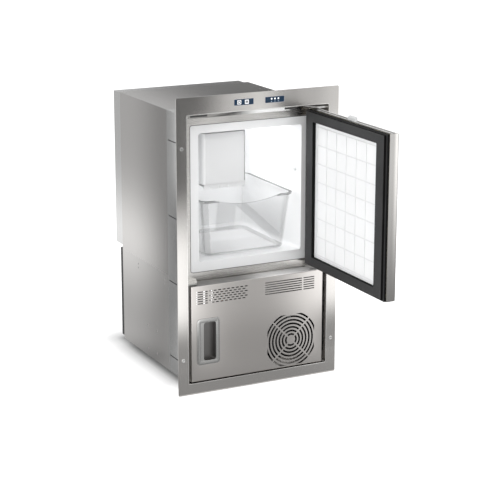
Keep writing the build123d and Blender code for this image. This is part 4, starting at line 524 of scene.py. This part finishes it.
seam_shade_black = mottled("seam_shade_black", (0.03, 0.03, 0.03), 0, (700, 700, 700), 0.5, 0.7)
collar_low, collar_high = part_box("front_collar")
joint_levels, joint_margin, joint_half = (0.044, 0.246, 0.418, 0.6135), 0.007, 0.0015
joint_start, joint_end = collar_low[1] + joint_margin, collar_high[1] - joint_margin
for side, sign in (("left", -1), ("right", 1)):
    depth = sorted((sign * (collar_high[0] - 0.0002), sign * (collar_high[0] - 0.0007)))
    beads = bars(f"{side}_collar_seam_shade", [
        ((depth[0], joint_start, z - joint_half), (depth[1], joint_end, z + joint_half))
        for z in joint_levels
    ])
    beads.data.materials.append(seam_shade_black)
    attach(beads, "cabinet")


# Casing rivets and weld dimples
# Blind rivets of stainless steel join the lower sides to the upper shell.
# The dimples are where the module inside is spot-welded to the sheet.
rivet_head = np.vstack([
    np.hstack([0.0024 * bore, 0.0009 * np.sqrt(1 - 0.95 * bore ** 2)]),
    [(0.0024, 0.0), (0.0012, -0.0006), (0.0, -0.0006)],
])
dimple_head = np.vstack([
    np.hstack([0.0030 * bore, 0.0001 + 0.0003 * bore ** 2]),
    [(0.0034, 0.0), (0.0015, -0.0005), (0.0, -0.0005)],
])
side_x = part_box("left_side_panel")[0][0]
for tag, heads, places in (
    ("rivet", rivet_head, [(0.332, 0.2400), (0.332, 0.2290), (0.158, 0.2405), (0.158, 0.2300)]),
    ("dimple", dimple_head, [(0.2716, 0.0860), (0.2125, 0.0850), (0.2727, 0.0200), (0.2127, 0.0216)]),
):
    for number, (y, z) in enumerate(places):
        for side, sign in (("left", -1), ("right", 1)):
            head = turned(f"{side}_{tag}_{number}", heads, (-sign * side_x, y, z), (sign, 0, 0))
            head.data.materials.append(screw_steel if tag == "rivet" else satin_sheet)
            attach(head, "cabinet")


# Rear screws
# Plated pan-head screws with a cross recess. The pressed lid hooks in at its top and takes three from below.
# Six more hold the grille.
pan_head = np.vstack([
    np.hstack([0.0032 * bore, 0.0019 - 0.0007 * bore ** 3]),
    [(0.0034, 0.0008), (0.0034, 0.0), (0.0012, -0.0010), (0.0, -0.0010)],
])
pan_recess = {"slot_width": 0.0009, "slot_reach": 0.0021, "slot_depth": 0.0009}
screw_inset, end_inset = 0.012, 0.014
cover_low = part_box("rear_cover")[0]
grille_low, grille_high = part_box("rear_grille")
grille_rows = (grille_low[2] + screw_inset, grille_high[2] - screw_inset)
rear_places = [((x, cover_low[1] + screw_inset, cover_low[2]), (0, 0, -1)) for x in (-0.150, 0.030, 0.150)]
for x in (grille_low[0] + end_inset, 0, grille_high[0] - end_inset):
    rear_places += [((x, grille_high[1], z), (0, 1, 0)) for z in grille_rows]
for number, (place, outward) in enumerate(rear_places):
    screw = turned(f"rear_screw_{number}", pan_head, place, outward, **pan_recess)
    screw.data.materials.append(screw_steel)
    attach(screw, "cabinet")


# Black mouldings
# Rear grille, cable gland, control box, fan shroud and fan rotor, injection moulded in black plastic.
# The moulds were spark-eroded, which leaves a fine dull grain.
black_moulding = finish("black_moulding", (0.035, 0.035, 0.037), 0, 0.55)
pebble = grain(black_moulding, (1400, 1400, 1400), 2)
gloss(black_moulding, pebble, 0.45, 0.62)
relief(black_moulding, pebble, 0.00004)
tint(black_moulding, grain(black_moulding, (25, 25, 25)), (0.030, 0.030, 0.032), (0.042, 0.042, 0.044))
dress(black_moulding, "rear_grille", "cable_gland", "control_box", "fan_shroud", "fan_rotor")


# Insulation
# Cream polyurethane foam, poured between the shell and the liner and into the door, where it sets.
# It only shows where it is cut.
poured_foam = finish("poured_foam", (0.90, 0.82, 0.55), 0, 0.85)
cells = grain(poured_foam, (700, 700, 700), 3)
tint(poured_foam, cells, (0.82, 0.73, 0.46), (0.93, 0.86, 0.60))
relief(poured_foam, cells, 0.0003)
dress(poured_foam, "insulation", "door_foam")


# Hinge brackets and pins
# Steel plates, pressed and zinc plated, carry plain ground pins. The unit's hanger and arm match them.
# The spare bracket for a left-hung door is duller and darker with painted shade, and has a painted highlight
# on its top.
def dress_some(material, name, chosen):
    """Gives a second finish to those faces of a solid for which chosen(middle, normal) holds."""
    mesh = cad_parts[name].data
    mesh.materials.append(material)
    for face in mesh.polygons:
        if chosen(face.center, face.normal):
            face.material_index = len(mesh.materials) - 1


zinc = finish("zinc_plate", (0.70, 0.70, 0.69), 1, 0.33)
spangle = grain(zinc, (120, 120, 120), 3)
tint(zinc, spangle, (0.64, 0.64, 0.63), (0.75, 0.75, 0.74))
gloss(zinc, grain(zinc, (500, 500, 500)), 0.26, 0.42)
relief(zinc, spangle, 0.00003)
dress(zinc, "upper_hinge_bracket", "lower_hinge_bracket", "unit_hanger")
painted_shade_zinc = mottled("painted_shade_zinc", (0.30, 0.30, 0.29), 1, (500, 500, 500), 0.34, 0.46)
dress(painted_shade_zinc, "spare_hinge_bracket")
painted_highlight_zinc = mottled("painted_highlight_zinc", (0.93, 0.925, 0.90), 1, (500, 500, 500), 0.22, 0.34)
dress_some(painted_highlight_zinc, "spare_hinge_bracket", lambda middle, normal: normal[2] > 0.9)
dress(screw_steel, "hinge_pins", "shutoff_arm")


# Display windows
# Two windows of tinted acrylic, cut from sheet and let into the flange.
# Each sits in a thin pale frame that hides the cut edge.
def closed_grid(name, points):
    """Mesh of a (rows, columns, 3) grid of points that closes both ways, each last line meeting its first."""
    rows, columns = points.shape[:2]
    near = np.arange(rows * columns).reshape(rows, columns)
    far = np.roll(near, -1, axis=0)
    faces = np.stack([near, far, np.roll(far, -1, axis=1), np.roll(near, -1, axis=1)], axis=-1)
    mesh = bpy.data.meshes.new(name)
    mesh.from_pydata(points.reshape(-1, 3).tolist(), [], faces.reshape(-1, 4).tolist())
    return put(name, smoothed(mesh))


def tube_along(name, route, section, normal):
    """Closed sweep: the section's (out, up) points go round the closed route, with out in its plane."""
    route, section = np.array(route, float), np.array(section, float)
    normal = np.array(normal, float)
    ahead = np.roll(route, -1, axis=0) - route
    ahead /= np.linalg.norm(ahead, axis=1, keepdims=True)
    behind = np.roll(ahead, 1, axis=0)
    out = np.cross(ahead, normal) + np.cross(behind, normal)
    out /= (1 + np.sum(ahead * behind, axis=1, keepdims=True))
    sideways, upwards = section[None, :, :1] * out[:, None], section[None, :, 1:] * normal
    return closed_grid(name, route[:, None] + sideways + upwards)


def round_rectangle(centre, width, height, corner, y):
    """Closed route in the X-Z plane at depth y: four quarter circles joined by straight sides."""
    turn = np.linspace(0, np.pi / 2, 7)
    starts = np.repeat(np.arange(4) * np.pi / 2, len(turn)) + np.tile(turn, 4)
    sign_x = np.repeat([1, -1, -1, 1], len(turn))
    sign_z = np.repeat([1, 1, -1, -1], len(turn))
    x = centre[0] + sign_x * (width / 2 - corner) + corner * np.cos(starts)
    z = centre[1] + sign_z * (height / 2 - corner) + corner * np.sin(starts)
    return np.stack([x, np.full_like(x, y), z], axis=-1)


tinted_window = finish("tinted_window", (0.014, 0.034, 0.066), 0, 0.12)
tinted_window.node_tree.nodes["Principled BSDF"].inputs["Specular IOR Level"].default_value = 0.25
haze = grain(tinted_window, (60, 60, 200), 2)
tint(tinted_window, haze, (0.010, 0.027, 0.052), (0.018, 0.041, 0.080))
gloss(tinted_window, haze, 0.08, 0.2)
dress(tinted_window, "button_window", "indicator_window")
pale_frame = mottled("pale_frame", (0.50, 0.50, 0.54), 0, (800, 800, 800), 0.34, 0.48)
frame_section, frame_corner = [(0.0, 0.0001), (0.0006, 0.0001), (0.0006, 0.0005), (0.0, 0.0005)], 0.0015
for name in ("button_window", "indicator_window"):
    low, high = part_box(name)
    middle = ((low[0] + high[0]) / 2, (low[2] + high[2]) / 2)
    route = round_rectangle(middle, high[0] - low[0], high[2] - low[2], frame_corner, flange_front)
    border = tube_along(f"{name}_frame", route, frame_section, forward)
    border.data.materials.append(pale_frame)
    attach(border, "cabinet")


# Opening lip
# The cut edge of the steel flange, rolled over into a small bright lip all round the opening.
# It makes the edge safe to the hand.
lip_steel = mottled("lip_steel", (0.80, 0.79, 0.77), 1, (20, 900, 900), 0.2, 0.3)
face_low, face_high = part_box("face_frame")
opening_bottom, opening_corner = 0.0055, 0.003
opening_route = round_rectangle(
    ((face_low[0] + face_high[0]) / 2, (opening_bottom + face_high[2]) / 2),
    face_high[0] - face_low[0], face_high[2] - opening_bottom, opening_corner, flange_front)
lip_arch = np.linspace(0, np.pi, 9)
lip_section = np.stack([0.0011 + 0.0010 * np.cos(lip_arch), 0.0007 * np.sin(lip_arch) - 0.0001], axis=-1)
opening_lip = tube_along("opening_lip", opening_route, lip_section, forward)
opening_lip.data.materials.append(lip_steel)
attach(opening_lip, "cabinet")


# Inner liner
# White polystyrene sheet, vacuum-formed into the compartment with soft corners and a faint sheet gloss.
# Its rim sits in the face frame, and a thin black bead runs round the joint as painted shade.
white_sheet = finish("white_sheet", (0.86, 0.865, 0.87), 0, 0.34)
cloud = grain(white_sheet, (9, 9, 9), 2)
tint(white_sheet, cloud, (0.85, 0.855, 0.86), (0.87, 0.875, 0.88))
gloss(white_sheet, grain(white_sheet, (160, 160, 160)), 0.28, 0.42)
relief(white_sheet, grain(white_sheet, (14, 14, 14), 1), 0.0004)
dress(white_sheet, "inner_liner")
liner_low, liner_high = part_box("inner_liner")
rim_middle = ((liner_low[0] + liner_high[0]) / 2, (liner_low[2] + liner_high[2]) / 2)
rim_size = (liner_high[0] - liner_low[0], liner_high[2] - liner_low[2])
rim_corner = 0.006
rim_route = round_rectangle(rim_middle, *rim_size, rim_corner, liner_low[1])
bead_section = [(-0.0006, 0.0), (0.0006, 0.0), (0.0006, 0.0003), (-0.0006, 0.0003)]
liner_seam_shade = tube_along("liner_seam_shade", rim_route, bead_section, forward)
liner_seam_shade.data.materials.append(seam_shade_black)
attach(liner_seam_shade, "cabinet")


# Push buttons and indicators
# Two white moulded keys with a sign printed on each, sprung in the left window.
# In the right window are three small lit lenses, with their signs printed below.
white_key = mottled("white_key", (0.93, 0.94, 0.96), 0, (600, 600, 600), 0.2, 0.32)
dress(white_key, "power_button", "ice_button")
lens = mottled("lit_lens", (0.95, 0.97, 1.0), 0, (600, 600, 600), 0.15, 0.25)
lens.node_tree.nodes["Principled BSDF"].inputs["Emission Color"].default_value = (0.9, 0.95, 1.0, 1)
lens.node_tree.nodes["Principled BSDF"].inputs["Emission Strength"].default_value = 0.35
dress(lens, "indicator_lenses")


def strokes_mesh(name, lines, width, y, thick):
    """Ribbons in the X-Z plane, half of width to each side of every line, from depth y back by thick."""
    corners, faces = [], []
    for line in lines:
        line = np.array(line, float)
        way = np.gradient(line, axis=0)
        way /= np.linalg.norm(way, axis=1, keepdims=True)
        side = np.stack([-way[:, 1], way[:, 0]], axis=-1) * width / 2
        edge = np.stack([line - side, line + side, line + side, line - side], axis=1)
        depth = np.array([y, y, y + thick, y + thick])
        points = np.stack([edge[..., 0], np.broadcast_to(depth, edge.shape[:2]), edge[..., 1]], axis=-1)
        first = sum(len(c) for c in corners)
        index = first + np.arange(len(line) * 4).reshape(-1, 4)
        near, far = index[:-1], index[1:]
        walls = np.stack([near, far, np.roll(far, -1, axis=1), np.roll(near, -1, axis=1)], axis=-1)
        faces += walls.reshape(-1, 4).tolist() + [index[0].tolist(), index[-1][::-1].tolist()]
        corners.append(points.reshape(-1, 3))
    mesh = bpy.data.meshes.new(name)
    mesh.from_pydata(np.vstack(corners).tolist(), [], faces)
    mesh.update()
    return put(name, mesh)


ink = mottled("dark_ink", (0.05, 0.06, 0.08), 0, (900, 900, 900), 0.42, 0.58)
ink_proud, ink_thick, key_stroke, lamp_stroke = 0.00008, 0.0002, 0.0015, 0.0006
ring_radius, spoke_length, lamp_sign_scale = 0.0032, 0.0039, 0.34
ring = np.linspace(np.radians(125), np.radians(415), 25)
power_sign = [
    np.stack([ring_radius * np.cos(ring), ring_radius * np.sin(ring)], axis=-1),
    np.array([(0.0, 0.0006), (0.0, 0.0042)]),
]
arms = np.radians([30, 90, 150])
spokes = spoke_length * np.stack([np.cos(arms), np.sin(arms)], axis=-1)
crystal_sign = [np.array([-spoke, spoke]) for spoke in spokes]
for node, body, sign in (("power_button", "key_power", power_sign), ("ice_button", "key_ice", crystal_sign)):
    low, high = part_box(node)
    centre = np.array([(low[0] + high[0]) / 2, (low[2] + high[2]) / 2])
    lines = [line + centre for line in sign]
    key_sign = strokes_mesh(f"{node}_sign", lines, key_stroke, low[1] - ink_proud, ink_thick)
    key_sign.data.materials.append(ink)
    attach(key_sign, body)
pale_ink = mottled("pale_ink", (0.45, 0.55, 0.68), 0, (900, 900, 900), 0.42, 0.58)
window_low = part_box("indicator_window")[0]
lens_low, lens_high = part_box("indicator_lenses")
lens_half, sign_height = 0.0022, window_low[2] + 0.0032
lamp_signs = []
for x in np.linspace(lens_low[0] + lens_half, lens_high[0] - lens_half, 3):
    lamp_signs += [line * lamp_sign_scale + np.array([x, sign_height]) for line in crystal_sign]
signs = strokes_mesh("indicator_signs", lamp_signs, lamp_stroke, window_low[1] - ink_proud, ink_thick)
signs.data.materials.append(pale_ink)
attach(signs, "cabinet")


# Control board
# Glass-fibre board with green solder mask over its copper.
# It is clipped into the black box behind the flange.
solder_mask = finish("solder_mask", (0.02, 0.16, 0.07), 0, 0.35)
traces = grain(solder_mask, (260, 260, 520), 1)
tint(solder_mask, traces, (0.015, 0.12, 0.05), (0.03, 0.20, 0.09))
gloss(solder_mask, traces, 0.28, 0.42)
dress(solder_mask, "control_board")


# Ice-making unit
# White moulded cover with rounded front edges over a grey drive housing, hung in the liner by a bracket.
# Behind it are a cast mould of crescent cells and the white ejector, stripper, guard and cup.
white_moulding = finish("white_moulding", (0.745, 0.75, 0.755), 0, 0.42)
skin = grain(white_moulding, (700, 700, 700), 2)
gloss(white_moulding, skin, 0.36, 0.5)
relief(white_moulding, skin, 0.00002)
tint(white_moulding, grain(white_moulding, (12, 12, 12)), (0.735, 0.74, 0.745), (0.755, 0.76, 0.765))
dress(white_moulding, "unit_cover", "drip_guard", "fill_cup", "stripper", "ejector", "temperature_sensor")
cover_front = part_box("unit_cover")[0][1]
# The cover's left side gets a painted highlight, and its lower and right front edges get painted shade.
lit_moulding = mottled("lit_moulding", (0.95, 0.955, 0.96), 0, (700, 700, 700), 0.3, 0.42, 2)
dress_some(lit_moulding, "unit_cover", lambda middle, normal: normal[0] < -0.2)
shaded_moulding = mottled("shaded_moulding", (0.42, 0.425, 0.43), 0, (700, 700, 700), 0.42, 0.58, 2)
dress_some(shaded_moulding, "unit_cover", lambda middle, normal: (
    middle[1] < cover_front + 0.012 and (normal[2] < -0.3 or normal[0] > 0.3)))
grey_moulding = finish("grey_moulding", (0.36, 0.37, 0.385), 0, 0.5)
grey_skin = grain(grey_moulding, (900, 900, 900), 2)
gloss(grey_moulding, grey_skin, 0.42, 0.58)
relief(grey_moulding, grey_skin, 0.00003)
tint(grey_moulding, grain(grey_moulding, (20, 20, 20)), (0.33, 0.34, 0.355), (0.39, 0.40, 0.415))
dress(grey_moulding, "drive_housing", "power_module", "water_valve", "door_bushes", "panel_bushes")
cast_alloy = finish("cast_alloy", (0.70, 0.71, 0.72), 1, 0.42)
cast = grain(cast_alloy, (350, 350, 350), 3)
tint(cast_alloy, cast, (0.64, 0.65, 0.66), (0.74, 0.75, 0.76))
gloss(cast_alloy, cast, 0.36, 0.5)
relief(cast_alloy, cast, 0.00006)
dress(cast_alloy, "ice_mould", "condenser", "evaporator", "fan_motor")


# Ice bin
# Clear polystyrene, injection moulded, with a rolled rim. Its front mirrors the door, and its bends, corners,
# foot, lip and rim are painted shade, grey on the bends and nearly black on the rim.
def clear(name, shade, metallic, roughness, cover):
    """Clear plastic that hides the share cover of what lies behind each of its skins."""
    material = finish(name, (shade, shade * 1.01, shade * 1.02), metallic, roughness)
    gloss(material, grain(material, (120, 120, 120)), roughness * 0.8, roughness * 1.2)
    material.node_tree.nodes["Principled BSDF"].inputs["Alpha"].default_value = cover
    return material


bin_low, bin_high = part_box("ice_bin")
foot_level, bend_depth = bin_low[2] + 0.02, bin_low[1] + 0.05
dress(clear("clear_wall", 0.80, 0, 0.1, 0.05), "ice_bin")
dress_some(clear("clear_front", 0.95, 1, 0.03, 0.09), "ice_bin",
           lambda middle, normal: abs(normal[1]) > 0.9 and middle[1] < bin_low[1] + 0.03)
dress_some(clear("clear_bend", 0.42, 0, 0.2, 0.12), "ice_bin",
           lambda middle, normal: max(abs(normal[0]), abs(normal[1])) < 0.96 and middle[1] < bend_depth)
dress_some(clear("clear_corner", 0.10, 0, 0.2, 0.20), "ice_bin",
           lambda middle, normal: 0.25 < abs(normal[0]) - abs(normal[1]) < 0.75 and abs(normal[2]) < 0.3
           and middle[1] < bend_depth)
dress_some(clear("clear_foot", 0.28, 0, 0.2, 0.28), "ice_bin",
           lambda middle, normal: 0.3 < abs(normal[2]) < 0.96 and middle[2] < foot_level)
dress_some(clear("clear_lip", 0.10, 0, 0.2, 0.40), "ice_bin",
           lambda middle, normal: middle[2] > bin_high[2] - 0.0045 and middle[1] < bin_low[1] + 0.006)
dress_some(clear("clear_rim", 0.03, 0, 0.2, 0.95), "ice_bin",
           lambda middle, normal: normal[2] > 0.6 and middle[2] > foot_level)


# Cooling unit
# A compressor with a pressed steel shell, painted black, stands on moulded rubber mounts in the bay.
# Drawn copper pipes and a copper filter drier are brazed to it, and a milky tube takes the water up.
black_paint = finish("black_paint", (0.022, 0.022, 0.024), 0, 0.3)
peel = grain(black_paint, (220, 220, 220), 2)
gloss(black_paint, peel, 0.24, 0.38)
relief(black_paint, peel, 0.00008)
dress(black_paint, "compressor")
mount_rubber = finish("mount_rubber", (0.03, 0.03, 0.03), 0, 0.8)
tint(mount_rubber, grain(mount_rubber, (300, 300, 300)), (0.024, 0.024, 0.024), (0.038, 0.038, 0.038))
dress(mount_rubber, "compressor_mounts")
drawn_copper = finish("drawn_copper", (0.78, 0.42, 0.26), 1, 0.28)
tarnish = grain(drawn_copper, (70, 70, 70), 4)
tint(drawn_copper, tarnish, (0.62, 0.30, 0.17), (0.84, 0.48, 0.31))
gloss(drawn_copper, tarnish, 0.22, 0.4)
dress(drawn_copper, "copper_lines", "filter_drier")
milky_tube = mottled("milky_tube", (0.78, 0.82, 0.86), 0, (300, 300, 300), 0.28, 0.42)
tint(milky_tube, grain(milky_tube, (30, 30, 30)), (0.74, 0.78, 0.82), (0.82, 0.86, 0.90))
dress(milky_tube, "fill_tube")


# Water inlet thread
# Pipe thread moulded on the grey plastic stub of the valve, where a hose nut screws on.
# The height of its ridge depends on how far a point lies along the pitch, less its share of the turn.
stub_x, stub_y, stub_bottom = -0.062, 0.4708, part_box("water_valve")[0][2]
thread_pitch, thread_depth, thread_root, thread_bore, thread_sides = 0.0018, 0.0007, 0.01321, 0.0129, 48
around = np.linspace(0, 2 * np.pi, thread_sides, endpoint=False)
angle, along = np.meshgrid(around, np.linspace(0.0006, 0.0124, 60))
phase = (along / thread_pitch - angle / (2 * np.pi)) % 1
radius = thread_root + thread_depth * (1 - np.abs(2 * phase - 1))
radius = np.vstack([radius, np.full((2, thread_sides), thread_bore)])
along = np.vstack([along, along[-1:], along[:1]])
angle = np.vstack([angle, angle[:2]])
thread_x, thread_y = np.cos(angle) * radius + stub_x, np.sin(angle) * radius + stub_y
rounds = np.stack([thread_x, thread_y, along + stub_bottom], axis=-1)
thread = closed_grid("inlet_thread", rounds[::-1])
thread.data.materials.append(grey_moulding)
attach(thread, "cabinet")


# Service panel
# Folded stainless front with punched louvres and a ring grille, ground like the flange.
# It hangs on two pins at its right and is folded back at its edges.
panel_steel = ground(
    "panel_steel", level_strokes, (0.652, 0.626, 0.602), (0.668, 0.641, 0.617), (0.28, 0.32))
dress(panel_steel, "service_panel")
# The top fold gets a painted reflection, dark on the left and bright on the right.
fold_painted_reflection = finish("fold_painted_reflection", (0.60, 0.59, 0.57), 0.35, 0.4)
tint(fold_painted_reflection, along_width(fold_painted_reflection, -0.06, 0.06), (0.22, 0.215, 0.21), (0.85, 0.84, 0.83))
gloss(fold_painted_reflection, grain(fold_painted_reflection, (20, 900, 900)), 0.34, 0.46)
fold_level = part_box("service_panel")[1][2] - 0.002
dress_some(fold_painted_reflection, "service_panel", lambda middle, normal: normal[2] > 0.5 and middle[2] > fold_level)


# Door
# Stainless pan, folded with hems along its top and ground along its height, round a foam core.
# It turns on bushes at its right, and its top gets painted shade between the hems.
door_steel = ground(
    "door_steel", upright_strokes, (0.652, 0.637, 0.617), (0.668, 0.653, 0.633), (0.19, 0.23))
dress(door_steel, "door_skin")
top_painted_shade = mottled("top_painted_shade", (0.12, 0.117, 0.113), 1, (1600, 40, 1600), 0.24, 0.32)
dress_some(top_painted_shade, "door_skin", lambda middle, normal: normal[2] > 0.9)
hem_steel = mottled("hem_steel", (0.82, 0.81, 0.79), 0, (900, 20, 900), 0.2, 0.3)
pan_low, pan_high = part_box("door_skin")
pan_depth = pan_high[0] - pan_low[0]
catch_low, catch_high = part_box("travel_catch")
hem_gap, hem_bottom, hem_top = 0.002, pan_high[2] - 0.0001, pan_high[2] + 0.0004
hem_runs = ((pan_low[1] + 0.003, catch_low[1] - hem_gap), (catch_high[1] + hem_gap, pan_high[1] - 0.030))
hems = bars("door_hems", [
    ((pan_low[0] + start * pan_depth, near, hem_bottom), (pan_low[0] + end * pan_depth, far, hem_top))
    for start, end in ((0.22, 0.34), (0.64, 0.80))
    for near, far in hem_runs
])
hems.data.materials.append(hem_steel)
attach(hems, "door")


# Door lining
# White polystyrene sheet, vacuum-formed with a grid of grooves that stiffens it.
# It is held in the pan by the foam behind it and by the seal.
door_plastic = finish("door_lining", (0.93, 0.935, 0.94), 0, 0.34)
tint(door_plastic, grain(door_plastic, (9, 9, 9), 2), (0.92, 0.925, 0.93), (0.94, 0.945, 0.95))
gloss(door_plastic, grain(door_plastic, (160, 160, 160)), 0.28, 0.42)
dress(door_plastic, "door_inner_panel")
# The grooves are a darker copy of the lining: painted shade in the recesses.
groove_painted_shade = mottled("groove_shade_lining", (0.83, 0.835, 0.84), 0, (160, 160, 160), 0.42, 0.58)
groove_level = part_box("door_inner_panel")[0][0] + 0.0005
dress_some(groove_painted_shade, "door_inner_panel", lambda middle, normal: middle[0] > groove_level)


# Travel catch
# Pale moulded slide on the door's top edge, in a socket of the same plastic.
# Pushed up, it holds the door shut on the way.
pale_moulding = mottled("pale_moulding", (0.72, 0.73, 0.73), 0, (700, 700, 700), 0.34, 0.48)
tint(pale_moulding, grain(pale_moulding, (40, 40, 40)), (0.69, 0.70, 0.70), (0.75, 0.76, 0.76))
dress(pale_moulding, "travel_catch", "catch_socket")


# Finger pulls
# Cups pressed from stainless sheet, one in the panel and one in the door, each with a domed rim.
# The inside of a cup is duller, and darkened with painted shade in the recess.
pressed_steel = finish("pressed_steel", (0.50, 0.50, 0.49), 1, 0.22)
pressed = grain(pressed_steel, (900, 900, 60), 3)
tint(pressed_steel, pressed, (0.485, 0.485, 0.475), (0.515, 0.515, 0.505))
gloss(pressed_steel, pressed, 0.18, 0.24)
dress(pressed_steel, "panel_pull", "door_pull")
cup_painted_shade = mottled("cup_painted_shade", (0.22, 0.215, 0.21), 1, (500, 500, 12), 0.32, 0.46, 4)
panel_pull_low, panel_pull_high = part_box("panel_pull")
door_pull_low, door_pull_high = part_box("door_pull")
dress_some(cup_painted_shade, "panel_pull", lambda middle, normal: middle[1] > panel_pull_low[1] + 0.002)
dress_some(cup_painted_shade, "door_pull", lambda middle, normal: middle[0] < door_pull_high[0] - 0.002)
rim_arch = np.linspace(0, np.pi, 13)
rim_section = np.stack([0.0050 * np.cos(rim_arch), 0.0012 * np.sin(rim_arch) - 0.0002], axis=-1)
rim_inset, pull_corner = 0.0104, 0.006


def pull_route(low, high, axis, depth):
    """Closed route along the middle of a pull's rim, its width on that axis and its plane at that depth."""
    middle = ((low[axis] + high[axis]) / 2, (low[2] + high[2]) / 2)
    width, height = high[axis] - low[axis] - rim_inset, high[2] - low[2] - rim_inset
    return round_rectangle(middle, width, height, pull_corner, depth)


panel_rim_route = pull_route(panel_pull_low, panel_pull_high, 0, panel_pull_low[1])
door_rim_route = pull_route(door_pull_low, door_pull_high, 1, door_pull_high[0])[:, [1, 0, 2]]
for name, route, outward, body in (
    ("panel_pull_rim", panel_rim_route, forward, "service_door"),
    ("door_pull_rim", door_rim_route, (1, 0, 0), "door"),
):
    pull_rim = tube_along(name, route, rim_section, outward)
    pull_rim.data.materials.append(pressed_steel)
    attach(pull_rim, body)


# Door seal
# Charcoal rubber, extruded with a magnet in its flat lip, mitred and welded at the corners.
# It is pressed into a groove round the door, and its walls are duller than its lip and near black with
# painted shade.
seal_rubber = finish("seal_rubber", (0.026, 0.026, 0.027), 0, 0.6)
bloom = grain(seal_rubber, (18, 18, 18), 3)
tint(seal_rubber, bloom, (0.023, 0.023, 0.024), (0.029, 0.029, 0.030))
gloss(seal_rubber, grain(seal_rubber, (500, 500, 500)), 0.5, 0.7)
dress(seal_rubber, "door_seal")
seal_wall_painted_shade = mottled("seal_wall_painted_shade", (0.008, 0.008, 0.008), 0, (500, 500, 500), 0.65, 0.85)
seal_wall_painted_shade.node_tree.nodes["Principled BSDF"].inputs["Specular IOR Level"].default_value = 0.06
dress_some(seal_wall_painted_shade, "door_seal", lambda middle, normal: abs(normal[0]) < 0.5)
